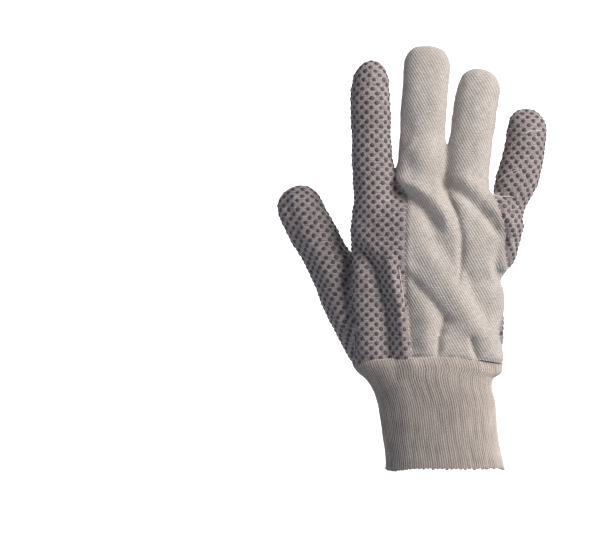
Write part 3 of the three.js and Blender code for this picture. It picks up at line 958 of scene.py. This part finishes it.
@dataclass
class Panel:
    """One piece of cloth of the glove.

    Attributes:
        name: name of the finished piece.
        cut: which cut of the skin it is.
        node: the solid that it stands for.
        slot: the record's material slot; it is not used.
        thickness: of the cloth.
        least: length below which a short edge counts no more when the cloth is laid flat.
        slip: how much the laid cloth resists shear, against how much it resists stretching.
        cloth: the cut piece, once it is made.
    """

    name: str
    cut: Cut
    node: str
    slot: str
    thickness: float = 1.0 * MM
    least: float = 0.3 * MM
    slip: float = 0.12
    cloth: bpy.types.Mesh | None = field(default=None, repr=False)

    def take(self, skin: bpy.types.Mesh) -> None:
        """Cut this panel out of the whole skin."""
        bm = bmesh.new()
        bm.from_mesh(skin)
        panel = bm.faces.layers.int["panel"]
        others = [face for face in bm.faces if face[panel] != self.cut.value]
        bmesh.ops.delete(bm, geom=others, context="FACES")
        bmesh.ops.split_edges(bm, edges=[edge for edge in bm.edges if edge.seam and not edge.is_boundary])
        self.cloth = mesh_of(bm, self.name)

    def lay_flat(self) -> None:
        """Give the cloth a UV map in metres whose grain stays level and upright all over the hand."""
        mesh = self.cloth
        tiny, unsure = 1e-6, 0.05
        points, normals = coordinates(mesh), vertex_normals(mesh)
        level = np.cross((0.0, 0.0, 1.0), normals)
        sure = np.linalg.norm(level, axis=1)
        level /= np.maximum(sure, tiny)[:, None]
        upward = np.cross(normals, level)
        ends = rows_of(mesh.edges, "vertices", 2, np.int32)
        run = points[ends[:, 1]] - points[ends[:, 0]]
        short = np.sum(run * run, axis=1) + self.least ** 2
        weight = (unsure + sure[ends].mean(axis=1) ** 2) / short
        flat = []
        for way, start in ((level, 0.0 * points[:, 0]), (upward, points[:, 2])):
            wanted = np.sum(run * way[ends].mean(axis=1), axis=1)
            flat.append(settled(ends, wanted, weight * (self.slip + wanted * wanted / short), start))
        corners = rows_of(mesh.loops, "vertex_index", 1, np.int32)[:, 0]
        layer = mesh.uv_layers.new(name="UVMap")
        layer.data.foreach_set("uv", np.stack(flat, axis=1)[corners].astype(np.float32).ravel())

    def flat_points(self) -> np.ndarray:
        """Return the UV place of every loop."""
        return rows_of(self.cloth.uv_layers.active.data, "uv", 2)

    def build(self, skin: bpy.types.Mesh, finish: bpy.types.Material) -> bpy.types.Object:
        """Make the piece, with the thickness of its cloth, and dress it."""
        self.take(skin)
        self.lay_flat()
        obj = dressed(self.cloth, self.name, finish, self.thickness)
        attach(obj, "root")
        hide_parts(self.node)
        return obj


@dataclass(frozen=True)
class GripDots:
    """The raised dots on one piece of cloth, in rows set off by half a step.

    Attributes:
        name: name of the finished piece.
        pitch: between neighbouring dots.
        width, height: of one dot.
        turned: degrees that the rows are turned in the cloth.
        clear: how near a seam a dot is left out.
        uneven: how much the dots' sizes vary, as a share of them.
        seed: for the dots' sizes and turns.
    """

    name: str
    pitch: float = 4.2 * MM
    width: float = 2.85 * MM
    height: float = 0.45 * MM
    turned: float = 45.0
    clear: float = 0.7 * MM
    uneven: float = 0.07
    seed: int = 11

    def dot(self) -> bpy.types.Mesh:
        """Make one dot, a dome of unit height and width with its foot sunk below the origin."""
        sunk = -0.45
        bm = bmesh.new()
        bmesh.ops.create_uvsphere(bm, u_segments=9, v_segments=6, radius=0.5)
        bmesh.ops.transform(bm, matrix=Matrix.Diagonal((1, 1, 2, 1)), verts=bm.verts)
        bmesh.ops.bisect_plane(bm, geom=[*bm.verts, *bm.edges, *bm.faces], plane_co=(0, 0, sunk),
                               plane_no=(0, 0, 1), clear_inner=True)
        bmesh.ops.holes_fill(bm, edges=bm.edges, sides=0)
        bmesh.ops.recalc_face_normals(bm, faces=bm.faces)
        return mesh_of(bm, "dot")

    def spots(self, flat: np.ndarray) -> list[Vector]:
        """Return the dots' places on the flat cloth that covers the given points."""
        low, high = flat.min(axis=0), flat.max(axis=0)
        centre = (low + high) / 2
        reach = int(np.linalg.norm(high - low) / 2 / self.pitch) + 1
        turn = math.radians(self.turned)
        found = []
        for i in range(-reach, reach + 1):
            for j in range(-reach, reach + 1):
                u = (i * math.cos(turn) - j * math.sin(turn)) * self.pitch + centre[0]
                v = (i * math.sin(turn) + j * math.cos(turn)) * self.pitch + centre[1]
                if low[0] <= u <= high[0] and low[1] <= v <= high[1]:
                    found.append(Vector((u, v, 0.0)))
        return found

    def frames(self, panel: Panel) -> list[Matrix]:
        """Return where each dot stands on the cloth, with its size."""
        mesh, flat = panel.cloth, panel.flat_points()
        mesh.calc_loop_triangles()
        loops = [tri.loops[:] for tri in mesh.loop_triangles]
        verts = [tri.vertices[:] for tri in mesh.loop_triangles]
        places, normals = coordinates(mesh), vertex_normals(mesh)
        layers = np.zeros((len(flat), 3))
        layers[:, :2] = flat
        for corners, ends in zip(loops, verts):
            layers[list(corners), 2] = places[list(ends), 0]
        tree = BVHTree.FromPolygons(layers.tolist(), loops)
        seam = rows_of(mesh.attributes["seam"].data, "value", 1)[:, 0]
        nearest = math.exp(-((self.clear / SEAM_SHADE) ** 2))
        draw = random.Random(self.seed)
        found = []
        covered = [(spot, hit) for spot in self.spots(flat) for hit in self.hits(tree, spot)]
        for spot, hit in covered:
            share = self.shares(np.array(spot[:2]), flat[list(loops[hit])])
            corners = list(verts[hit])
            if share @ seam[corners] > nearest:
                continue
            point = Vector(share @ places[corners])
            up = Vector(share @ normals[corners]).normalized()
            spun = Vector((0, 0, draw.uniform(0, math.tau))).to_track_quat("Z", "Y")
            turn = up.to_track_quat("Z", "Y") @ spun
            size = [self.width * draw.gauss(1, self.uneven) for _ in range(2)]
            scale = Matrix.Diagonal((*size, self.height * draw.gauss(1, self.uneven), 1))
            found.append(Matrix.Translation(point) @ turn.to_matrix().to_4x4() @ scale)
        return found

    @staticmethod
    def hits(tree: BVHTree, spot: Vector) -> list[int]:
        """Return the triangles that cover a spot, which are several where laid-out fingers overlap."""
        past = 1.0 * MM
        found = []
        start = spot + Vector((0, 0, 1))
        while True:
            place, _, index, _ = tree.ray_cast(start, Vector((0, 0, -1)))
            if index is None:
                return found
            found.append(index)
            start = place - Vector((0, 0, past))

    @staticmethod
    def shares(spot: np.ndarray, corners: np.ndarray) -> np.ndarray:
        """Return how much each corner of a triangle counts at a spot inside it."""
        sides = np.stack([corners[1] - corners[0], corners[2] - corners[0]], axis=1)
        second, third = np.linalg.solve(sides, spot - corners[0])
        return np.array([1.0 - second - third, second, third])

    def build(self, panel: Panel, finish: bpy.types.Material) -> bpy.types.Object:
        """Make all the dots of a panel as one piece."""
        mesh = repeated(self.name, self.dot(), self.frames(panel))
        obj = dressed(mesh, self.name, finish)
        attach(obj, "root")
        return obj


def repeated(name: str, one: bpy.types.Mesh, places: Sequence[Matrix]) -> bpy.types.Mesh:
    """Join many copies of a small mesh into one.

    Args:
        name: name of the joined mesh.
        one: the small mesh.
        places: where each copy goes.

    Returns:
        The joined mesh.
    """
    bm = bmesh.new()
    rest = coordinates(one)
    copy = one.copy()
    for place in places:
        set_coordinates(copy, rest)
        copy.transform(place)
        bm.from_mesh(copy)
    return mesh_of(bm, name)


@dataclass(frozen=True)
class SewingThread:
    """The stitches that show in the seams, and a few loose ends of thread.

    Attributes:
        step: between two stitches.
        length, width: of one stitch.
        proud: how far a stitch's middle stands off the cloth, in its own widths.
        loose_width: of a loose thread.
        loose: the loose threads, each by X and Z of its points in mm on the back of the hand.
    """

    step: float = 2.6 * MM
    length: float = 1.9 * MM
    width: float = 0.42 * MM
    proud: float = 0.3
    loose_width: float = 0.44 * MM
    loose: tuple[Line, ...] = (
        ((33.5, 181), (36, 183.5), (40, 185.5), (44.5, 187.5)),
        ((27.5, 172.5), (31, 171), (35, 170.5), (40, 171), (43, 170)),
        ((51, 210.5), (54, 213), (58, 212), (61, 212.5)),
        ((-56.5, 85), (-57.5, 79), (-56.5, 72), (-54.5, 67)),
        ((-29.5, 127), (-28.5, 119), (-26.8, 112), (-26.4, 103)),
        ((-67, 143), (-64, 141), (-63.5, 137), (-60.5, 136)),
    )

    def one(self) -> bpy.types.Mesh:
        """Make one stitch, a small rounded rod of unit length along X."""
        bm = bmesh.new()
        bmesh.ops.create_uvsphere(bm, u_segments=6, v_segments=5, radius=0.5)
        bmesh.ops.recalc_face_normals(bm, faces=bm.faces)
        return mesh_of(bm, "stitch")

    def stitches(self, skin: bpy.types.Mesh) -> list[Matrix]:
        """Return where each stitch lies, across the seam under it."""
        points, normals = coordinates(skin), vertex_normals(skin)
        taken = KDTree(len(skin.edges))
        found = []
        for edge in skin.edges:
            if not edge.use_seam:
                continue
            first, second = (Vector(points[i]) for i in edge.vertices)
            middle = (first + second) / 2
            if found and taken.find(middle)[2] < self.step:
                continue
            up = Vector(normals[list(edge.vertices)].mean(axis=0)).normalized()
            across = up.cross(second - first).normalized()
            taken.insert(middle, len(found))
            taken.balance()
            turn = Matrix((across, up.cross(across), up)).transposed().to_4x4()
            scale = Matrix.Diagonal((self.length, self.width, self.width, 1))
            found.append(Matrix.Translation(middle + up * self.proud * self.width) @ turn @ scale)
        return found

    def threads(self, skin: bpy.types.Mesh) -> list[bpy.types.Mesh]:
        """Lay the loose threads on the back of the hand."""
        before = -0.2
        faces = [face.vertices[:] for face in skin.polygons]
        tree = BVHTree.FromPolygons(coordinates(skin).tolist(), faces)
        made = []
        for line in self.loose:
            curve = bpy.data.curves.new("thread", "CURVE")
            curve.dimensions = "3D"
            curve.bevel_depth = self.loose_width / 2
            curve.bevel_resolution = 1
            curve.use_fill_caps = True
            spline = curve.splines.new("NURBS")
            spline.points.add(len(line) - 1)
            spline.use_endpoint_u = True
            for point, (x, z) in zip(spline.points, line):
                start = Vector((x * MM, before, z * MM))
                place = tree.ray_cast(start, Vector((0, 1, 0)))[0]
                if place is None:
                    place = tree.find_nearest(Vector((x * MM, 0, z * MM)))[0]
                point.co = (*(place - Vector((0, self.loose_width, 0))), 1)
            made.append(baked(object_of(curve, "thread")))
        return made

    def build(self, skin: bpy.types.Mesh, finish: bpy.types.Material) -> bpy.types.Object:
        """Make all stitches and threads as one piece."""
        bm = bmesh.new()
        for part in (repeated("stitches", self.one(), self.stitches(skin)), *self.threads(skin)):
            bm.from_mesh(part)
        obj = dressed(mesh_of(bm, "seam_threads"), "seam_threads", finish)
        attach(obj, "root")
        return obj


@dataclass(frozen=True)
class KnitCuff:
    """The ribbed knit wrist, from its raw lower edge to the seam at the hand.

    Attributes:
        length, width, depth: its height and the sizes that its sections are shares of.
        roundness: how round the sections are.
        ribs: how many ribs go round it.
        rib_height, rib_round: how far they stand out, and how round they are, below 1 for rounder ones.
        wall: thickness of the knit.
        samples, rows: faces for each rib and faces up the cuff.
        edge_wave, nips: height of the raw edge's teeth, and the least and most of it that a tooth has.
        seed: for the teeth.
        hitch, hitch_reach: how far the back's edge is pulled up, and how far up that shows.
        tuck, right_tuck, tuck_reach: how far the top is drawn in, the same at its right end, and how
            far down that shows.
        right_end: where that end starts, in widths from the middle.
    """

    length: float = 67 * MM
    width: float = 75 * MM
    depth: float = 50 * MM
    roundness: float = 2.3
    ribs: int = 140
    rib_height: float = 0.4 * MM
    rib_round: float = 0.7
    wall: float = 1.4 * MM
    samples: int = 6
    rows: int = 56
    edge_wave: float = 1.3 * MM
    nips: tuple[float, float] = (0.3, 1.0)
    seed: int = 5
    hitch: float = 1.7 * MM
    hitch_reach: float = 12 * MM
    tuck: float = 0.8 * MM
    right_tuck: float = -0.3 * MM
    tuck_reach: float = 1.6 * MM
    right_end: float = 0.3

    def ring(self, z: float, count: int) -> tuple[np.ndarray, np.ndarray]:
        """Lay evenly spaced points round the cuff at a height.

        Args:
            z: the height.
            count: how many points.

        Returns:
            The points and the ways outwards, each with the first one repeated at the end.
        """
        at = np.full(4 * count, z / self.length)
        sizes = (self.width, self.width, self.depth, self.depth)
        left, right, back, front = (
            CUFF_SECTIONS.read(name, at) * size for name, size in zip(RING_COLUMNS, sizes))
        across, deep = oblong(np.linspace(0.0, 2.0 * math.pi, 4 * count), self.roundness)
        x = (left + right) / 2 + across * (right - left) / 2
        y = deep * np.where(deep < 0, -back, front)
        run = np.concatenate([[0.0], np.cumsum(np.hypot(np.diff(x), np.diff(y)))])
        even = np.linspace(0.0, run[-1], count + 1)
        ring = np.stack([np.interp(even, run, x), np.interp(even, run, y)], axis=1)
        along = np.roll(ring[:-1], -1, axis=0) - np.roll(ring[:-1], 1, axis=0)
        out = np.stack([along[:, 1], -along[:, 0]], axis=1)
        out /= np.linalg.norm(out, axis=1)[:, None]
        return ring, np.concatenate([out, out[:1]])

    def relief(self, u: float, v: float, x: float) -> float:
        """Return how far the knit stands out from its plain form at shares round and up it."""
        wave = 0.5 - 0.5 * math.cos(2.0 * math.pi * u * self.ribs)
        tuck = self.tuck if x < self.right_end * self.width else self.right_tuck
        drawn = tuck * math.exp(-(((1.0 - v) * self.length / self.tuck_reach) ** 2))
        return self.rib_height * (wave ** self.rib_round - 1.0) - drawn

    def knitted(self) -> bpy.types.Mesh:
        """Make the ribbed tube, with a UV map that counts ribs round and millimetres up."""
        count = self.ribs * self.samples
        bm = bmesh.new()
        bmesh.ops.create_grid(bm, x_segments=count, y_segments=self.rows, size=0.5)
        mark = bm.loops.layers.uv.new("UVMap")
        shares = {vert: (vert.co.x + 0.5, vert.co.y + 0.5) for vert in bm.verts}
        for face in bm.faces:
            for loop in face.loops:
                u, v = shares[loop.vert]
                loop[mark].uv = (u * self.ribs, v * self.length / MM)
        rings = {}
        draw = random.Random(self.seed)
        nips = [draw.uniform(*self.nips) for _ in range(self.ribs // 2)]
        for vert, (u, v) in shares.items():
            row, column = round(v * self.rows), round(u * count)
            if row not in rings:
                rings[row] = self.ring(v * self.length, count)
            ring, out = rings[row]
            x, y = ring[column] + out[column] * self.relief(u, v, ring[column][0])
            tooth = 0.5 - 0.5 * math.cos(math.pi * u * self.ribs)
            nip = nips[column // (2 * self.samples) % len(nips)] * tooth
            vert.co = (x, y, v * self.length + self.edge_wave * (1.0 - nip) * math.exp(-v * self.rows))
        bmesh.ops.remove_doubles(bm, verts=bm.verts, dist=0.01 * MM)
        bmesh.ops.recalc_face_normals(bm, faces=bm.faces)
        return mesh_of(bm, "cuff_knit")

    def build(self, finish: bpy.types.Material) -> bpy.types.Object:
        """Make the cuff with its folds, and dress it."""
        turn, hitch_from, hitch_to = 0.3, -0.45, -0.2
        mesh = self.knitted()
        points = coordinates(mesh)
        rise = sum(fold.rise_at(points) for fold in CUFF_FOLDS)
        behind = smooth_between(0.0, turn * self.depth, -points[:, 1])
        points[:, 1] -= rise * behind
        pulled = smooth_between(hitch_from * self.width, hitch_to * self.width, points[:, 0]) * behind
        points[:, 2] += self.hitch * pulled * np.exp(-((points[:, 2] / self.hitch_reach) ** 2))
        set_coordinates(mesh, arched(points, Hand()))
        obj = dressed(mesh, "cuff_knit", finish, self.wall)
        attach(obj, "root")
        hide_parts("knit_cuff")
        return obj


class Value:
    """A number on a node's socket, for writing shader maths as Python expressions."""

    def __init__(self, shader: "Shader", socket: bpy.types.NodeSocket) -> None:
        """Wrap one output socket of a shader's node."""
        self.shader = shader
        self.socket = socket

    def math(self, operation: str, *others: "Value | float", first: float | None = None) -> "Value":
        """Add a Math node on this value and others, or with a number before it."""
        inputs = (self, *others) if first is None else (first, self)
        node = self.shader.node("ShaderNodeMath", {"operation": operation}, dict(enumerate(inputs)))
        return Value(self.shader, node.outputs[0])

    def __add__(self, other: "Value | float") -> "Value":
        """Add."""
        return self.math("ADD", other)

    def __radd__(self, other: float) -> "Value":
        """Add, with the number first."""
        return self.math("ADD", other)

    def __sub__(self, other: "Value | float") -> "Value":
        """Subtract."""
        return self.math("SUBTRACT", other)

    def __rsub__(self, other: float) -> "Value":
        """Subtract from a number."""
        return self.math("SUBTRACT", first=other)

    def __mul__(self, other: "Value | float") -> "Value":
        """Multiply."""
        return self.math("MULTIPLY", other)

    def __rmul__(self, other: float) -> "Value":
        """Multiply, with the number first."""
        return self.math("MULTIPLY", other)

    def sine(self) -> "Value":
        """Return the sine."""
        return self.math("SINE")

    def clamped(self) -> "Value":
        """Keep the value between nought and one."""
        return self.math("MINIMUM", 1.0).math("MAXIMUM", 0.0)


class Shader:
    """A material in the making, with one method that adds any node."""

    def __init__(self, name: str, roughness: float, **constants: float | Colour) -> None:
        """Start a material on a Principled shader.

        Args:
            name: name of the material.
            roughness: of its surface.
            constants: the shader's other fixed sockets, with _ for a space.
        """
        self.material = bpy.data.materials.new(name)
        self.material.use_nodes = True
        self.tree = self.material.node_tree
        self.surface = self.tree.nodes["Principled BSDF"]
        self.surface.inputs["Roughness"].default_value = roughness
        for socket, value in constants.items():
            self.surface.inputs[socket.replace("_", " ")].default_value = value

    def node(self, kind: str, settings: dict[str, object],
             inputs: dict[object, object]) -> bpy.types.Node:
        """Add a node.

        Args:
            kind: the node's type.
            settings: its own settings, which are set first.
            inputs: values or links, by the socket's name or number.

        Returns:
            The node.
        """
        node = self.tree.nodes.new(kind)
        for name, value in settings.items():
            setattr(node, name, value)
        for name, value in inputs.items():
            socket = node.inputs[name]
            if isinstance(value, Value):
                self.tree.links.new(value.socket, socket)
            elif isinstance(value, bpy.types.NodeSocket):
                self.tree.links.new(value, socket)
            else:
                socket.default_value = value
        return node

    def coordinate(self, name: str) -> bpy.types.NodeSocket:
        """Return the Object or UV coordinates."""
        return self.node("ShaderNodeTexCoord", {}, {}).outputs[name]

    def axes(self, vector: bpy.types.NodeSocket) -> tuple[Value, Value]:
        """Return the first two parts of a vector."""
        parts = self.node("ShaderNodeSeparateXYZ", {}, {0: vector})
        return Value(self, parts.outputs[0]), Value(self, parts.outputs[1])

    def wave(self, turns: Value, late: float = 0.0) -> Value:
        """Return waves from 0 to 1 over a value that counts them, set back by an angle."""
        angle = turns * (2.0 * math.pi)
        return (angle - late if late else angle).sine() * 0.5 + 0.5

    def attribute(self, name: str) -> Value:
        """Return a vertex attribute."""
        return Value(self, self.node("ShaderNodeAttribute", {"attribute_name": name}, {}).outputs["Fac"])

    def cloud(self, vector: bpy.types.NodeSocket, per_unit: float | Point, detail: float = 2.0) -> Value:
        """Return cloudy noise from 0 to 1, with as many clouds to a unit of the vector as said."""
        steps = per_unit if isinstance(per_unit, tuple) else (per_unit,) * 3
        scaled = self.node("ShaderNodeMapping", {}, {"Vector": vector, "Scale": steps}).outputs[0]
        made = self.node("ShaderNodeTexNoise", {"noise_dimensions": "3D"},
                         {"Vector": scaled, "Scale": 1.0, "Detail": detail})
        return Value(self, made.outputs[0])

    def mixed(self, share: Value, low: Colour | bpy.types.NodeSocket,
              high: Colour | bpy.types.NodeSocket) -> bpy.types.NodeSocket:
        """Mix two colours."""
        ends = [(*end, 1.0) if isinstance(end, tuple) else end for end in (low, high)]
        node = self.node("ShaderNodeMix", {"data_type": "RGBA"}, {0: share, 6: ends[0], 7: ends[1]})
        return node.outputs[2]

    def finish(self, colour: bpy.types.NodeSocket, height: Value, depth: float) -> bpy.types.Material:
        """Join the colour and the bump to the shader and return the material."""
        self.tree.links.new(colour, self.surface.inputs["Base Color"])
        bump = self.node("ShaderNodeBump", {}, {"Strength": 1.0, "Distance": depth, "Height": height})
        self.tree.links.new(bump.outputs[0], self.surface.inputs["Normal"])
        return self.material


def srgb(red: int, green: int, blue: int) -> Colour:
    """Return a colour in linear light from its screen values."""
    def linear(value: int) -> float:
        """Return one part of the colour in linear light."""
        share = value / 255
        return share / 12.92 if share <= 0.04045 else ((share + 0.055) / 1.055) ** 2.4
    return linear(red), linear(green), linear(blue)


@dataclass(frozen=True)
class Twill:
    """Undyed cotton twill, with its diagonal lines in the piece's own UV map.

    Attributes:
        name: name of the material.
        light, dark: colours of a twill line's crest and of the hollow between, so the hollows carry
            painted shade; the cloth's uneven tone runs between the same two.
        fleck: colour of the stray darker yarns.
        pitch: between two twill lines.
        slope: degrees that they run below level, to the right.
        drift: how far the lines wander, in their pitch.
        yarn: share of the single yarns in the weave.
        depth: height of the weave.
        lines, specks, patches: how much the twill lines, the uneven yarns and the cloth's uneven tone
            show in the colour.
        flecks, fleck_from: how strong the stray yarns are, and the noise above which they show.
        seams: how much darker the cloth is painted at a seam, as painted shade in the seam's groove with
            a little dirt.
    """

    name: str
    light: Colour
    dark: Colour
    fleck: Colour
    pitch: float = 1.62 * MM
    slope: float = 62.0
    drift: float = 0.6
    yarn: float = 0.15
    depth: float = 0.2 * MM
    lines: float = 0.33
    specks: float = 0.8
    patches: float = 0.4
    flecks: float = 0.6
    fleck_from: float = 0.66
    seams: float = 0.3

    def material(self) -> bpy.types.Material:
        """Build the material."""
        shader = Shader(self.name, 0.92, Sheen_Weight=0.25, Sheen_Roughness=0.5, Specular_IOR_Level=0.2)
        flat = shader.coordinate("UV")
        u, v = shader.axes(flat)
        steep, level = (way(math.radians(self.slope)) / self.pitch for way in (math.sin, math.cos))
        over = u * steep + v * level
        ridge = shader.wave(over + shader.cloud(flat, 90.0) * self.drift)
        yarn = shader.wave((u * level - v * steep + over * 0.5) * 2.0)
        weave = ridge * (1.0 - self.yarn) + yarn * self.yarn
        slub = shader.cloud(flat, (260.0, 1500.0, 1.0))
        patch = shader.cloud(flat, 45.0, 3.0)
        uneven_line_shade = shader.cloud(flat, 130.0) * 0.8 + 0.6
        # The twill lines in the colour are painted shade in the hollows between the crests, of uneven
        # strength over the cloth
        line = (weave - 0.5) * uneven_line_shade * self.lines
        tone = (line + (slub - 0.5) * self.specks + (patch - 0.5) * self.patches + 0.5).clamped()
        colour = shader.mixed(tone, self.dark, self.light)
        stray = shader.cloud(flat, (420.0, 1900.0, 1.0), 1.0)
        flecks = ((stray - self.fleck_from) * 8.0).clamped()
        colour = shader.mixed(flecks * self.flecks, colour, self.fleck)
        # Painted shade with a little dirt at the seams: the colour runs towards the dark one near a seam
        colour = shader.mixed(shader.attribute("seam") * self.seams, colour, self.dark)
        return shader.finish(colour, weave + slub * 0.5, self.depth)


@dataclass(frozen=True)
class RibKnit:
    """Fine cotton rib knit. Its UV map counts ribs round and millimetres up.

    Attributes:
        name: name of the material.
        light, dark: colours of a rib and of the groove between, so the grooves carry painted shade; the
            knit's uneven tone runs between the same two.
        stitches: rows of loops to a millimetre.
        stray: how far the ribs wander, in ribs.
        ribs, streaks, loops, patches, fuzz: how much each of them shows in the colour.
        shade: how much darker than all of them together the knit is.
        depth: height of the loops.
    """

    name: str
    light: Colour
    dark: Colour
    stitches: float = 1.15
    stray: float = 0.25
    ribs: float = 0.7
    streaks: float = 0.6
    loops: float = 0.1
    patches: float = 0.3
    fuzz: float = 1.3
    shade: float = 0.98
    depth: float = 0.12 * MM

    def material(self) -> bpy.types.Material:
        """Build the material."""
        shader = Shader(self.name, 0.95, Sheen_Weight=0.5, Sheen_Roughness=0.4, Specular_IOR_Level=0.2)
        flat = shader.coordinate("UV")
        u, v = shader.axes(flat)
        # The rib wave keeps in step with the ribs' ridges, so the darker grooves are painted shade
        rib = shader.wave(u + shader.cloud(flat, (0.35, 0.12, 1.0), 1.0) * self.stray, math.pi / 2)
        half = (u * math.pi).sine()
        loop = shader.wave(v * self.stitches + half * half * 0.5)
        patch = shader.cloud(flat, (0.05, 0.08, 1.0), 3.0)
        streak = shader.cloud(flat, (0.8, 0.05, 1.0), 1.0)
        fuzz = shader.cloud(flat, (1.6, 2.2, 1.0))
        tone = rib * self.ribs + streak * self.streaks + loop * self.loops + patch * self.patches
        tone = (tone + fuzz * self.fuzz - self.shade).clamped()
        colour = shader.mixed(tone, self.dark, self.light)
        return shader.finish(colour, loop * 0.6 + fuzz * 0.5, self.depth)


@dataclass(frozen=True)
class Vinyl:
    """The soft vinyl of the grip dots.

    Attributes:
        name: name of the material.
        light, dark: its uneven colours.
        roughness: of its surface.
        depth: height of its grain.
    """

    name: str
    light: Colour
    dark: Colour
    roughness: float = 0.5
    depth: float = 0.08 * MM

    def material(self) -> bpy.types.Material:
        """Build the material."""
        shader = Shader(self.name, self.roughness, Specular_IOR_Level=0.4)
        place = shader.coordinate("Object")
        grain = shader.cloud(place, 2500.0)
        patch = shader.cloud(place, 300.0)
        colour = shader.mixed((grain * 0.5 + patch * 0.8 - 0.15).clamped(), self.dark, self.light)
        return shader.finish(colour, grain, self.depth)


@dataclass(frozen=True)
class Thread:
    """Undyed cotton sewing thread.

    Attributes:
        name: name of the material.
        light, dark: its uneven colours.
        depth: height of its grain.
    """

    name: str
    light: Colour
    dark: Colour
    depth: float = 0.05 * MM

    def material(self) -> bpy.types.Material:
        """Build the material."""
        shader = Shader(self.name, 0.8, Sheen_Weight=0.2, Specular_IOR_Level=0.3)
        grain = shader.cloud(shader.coordinate("Object"), 3000.0)
        colour = shader.mixed((grain * 1.4 - 0.2).clamped(), self.dark, self.light)
        return shader.finish(colour, grain, self.depth)


@dataclass(frozen=True)
class Lamp:
    """A soft square light.

    Attributes:
        name: its name.
        place, aim: where it hangs, and the point that it faces.
        size: width of its face.
        power: in watts.
        colour: of its light.
    """

    name: str
    place: Point
    aim: Point
    size: float
    power: float
    colour: Colour = (1.0, 1.0, 1.0)

    def build(self) -> None:
        """Hang the light."""
        data = bpy.data.lights.new(self.name, "AREA")
        data.size = self.size
        data.energy = self.power
        data.color = self.colour
        light = object_of(data, self.name)
        light.location = self.place
        light.rotation_euler = (Vector(self.aim) - Vector(self.place)).to_track_quat("-Z", "Y").to_euler()


@dataclass(frozen=True)
class Studio:
    """A white studio: floor, backdrop, lights and the camera, which looks level along +Y.

    Attributes:
        frame_width: what the picture shows across at the glove.
        centre: X and Z of the picture's middle.
        distance: from the camera to the glove's middle.
        sensor: width of the camera's sensor in mm.
        sheets: name, lean from level and place of the floor and of the backdrop.
        sheet_half: half the width of each.
        sheet_glow: how much light they give off.
        lamps: the lights.
        sky, sky_strength: colour and strength of the light from all round.
    """

    frame_width: float = 383.75 * MM
    centre: tuple[float, float] = (-86.25 * MM, 125 * MM)
    distance: float = 1.5
    sensor: float = 36.0
    sheets: tuple[tuple[str, float, Point], ...] = (
        ("floor", 0.0, (0.0, 1.9, -120 * MM)), ("backdrop", math.pi / 2, (0.0, 2.9, 0.0)))
    sheet_half: float = 1.6
    sheet_glow: float = 0.45
    lamps: tuple[Lamp, ...] = (
        Lamp("key", (1.55, -1.2, 1.1), (0.0, 0.0, 0.13), 1.3, 67.0, (1.0, 0.97, 0.945)),
        Lamp("fill", (-0.62, -0.24, -0.34), (-0.03, 0.0, 0.02), 0.4, 1.1, (0.9, 0.95, 1.0)),
        Lamp("wash", (0.0, 1.6, 2.2), (0.0, 3.0, 0.4), 2.0, 60.0),
    )
    sky: Colour = (0.74, 0.82, 1.0)
    sky_strength: float = 0.26

    def camera(self) -> None:
        """Set up the camera."""
        data = bpy.data.cameras.new("camera")
        data.sensor_width = self.sensor
        data.lens = self.sensor * self.distance / self.frame_width
        camera = object_of(data, "camera")
        camera.location = (self.centre[0], -self.distance, self.centre[1])
        camera.rotation_euler = (math.pi / 2, 0.0, 0.0)
        bpy.context.scene.camera = camera

    def surroundings(self) -> None:
        """Make the floor and the backdrop."""
        white = Shader("white", 0.9, Base_Color=(0.92, 0.92, 0.92, 1.0), Emission_Color=(1, 1, 1, 1),
                       Emission_Strength=self.sheet_glow, Specular_IOR_Level=0.0)
        for name, turn, place in self.sheets:
            bm = bmesh.new()
            bmesh.ops.create_grid(bm, x_segments=1, y_segments=1, size=self.sheet_half)
            spot = Matrix.Translation(place) @ Matrix.Rotation(turn, 4, "X")
            bmesh.ops.transform(bm, matrix=spot, verts=bm.verts)
            mesh = mesh_of(bm, name)
            mesh.materials.append(white.material)
            object_of(mesh, name)

    def build(self) -> None:
        """Set up the whole studio."""
        self.camera()
        self.surroundings()
        world = bpy.data.worlds.new("studio")
        world.use_nodes = True
        sky = world.node_tree.nodes["Background"]
        sky.inputs["Color"].default_value = (*self.sky, 1.0)
        sky.inputs["Strength"].default_value = self.sky_strength
        bpy.context.scene.world = world
        for lamp in self.lamps:
            lamp.build()
        bpy.context.scene.view_settings.view_transform = "Standard"


def report(piece: bpy.types.Object) -> None:
    """Log a finished piece."""
    log.info("%s: %d faces", piece.name, len(piece.data.polygons))


def main() -> None:
    """Build the glove in order and report each piece."""
    logging.basicConfig(level=logging.INFO, format="%(asctime)s %(name)s: %(message)s", force=True)
    Studio().build()
    dotted = Twill("dotted cotton", srgb(194, 182, 178), srgb(100, 92, 92), srgb(94, 84, 81),
                   depth=0.1 * MM, lines=0.12, specks=1.8).material()
    drill = Twill("drill cotton", srgb(232, 223, 213), srgb(122, 112, 105),
                  srgb(140, 122, 104)).material()
    knit = RibKnit("rib knit", srgb(218, 204, 192), srgb(96, 88, 84)).material()
    vinyl = Vinyl("vinyl", srgb(98, 86, 87), srgb(70, 60, 62)).material()
    thread = Thread("sewing thread", srgb(250, 246, 240), srgb(214, 207, 198)).material()
    skin = Skin().build()
    log.info("skin: %d faces", len(skin.polygons))
    palm = Panel("palm_cloth", Cut.PALM, "palm_panel", "dotted_cotton")
    back = Panel("back_cloth", Cut.BACK, "back_panel", "drill_cotton")
    thumb = Panel("thumb_cloth", Cut.THUMB, "thumb_back", "dotted_cotton")
    tongue = Panel("tongue_cloth", Cut.TONGUE, "thumb_tongue", "dotted_cotton")
    for panel in (palm, back, thumb, tongue):
        report(panel.build(skin, drill if panel is back else dotted))
    for name, panel in (("palm_dots", palm), ("thumb_dots", thumb), ("tongue_dots", tongue)):
        report(GripDots(name).build(panel, vinyl))
    report(SewingThread().build(skin, thread))
    report(KnitCuff().build(knit))


if __name__ == "__main__":
    main()
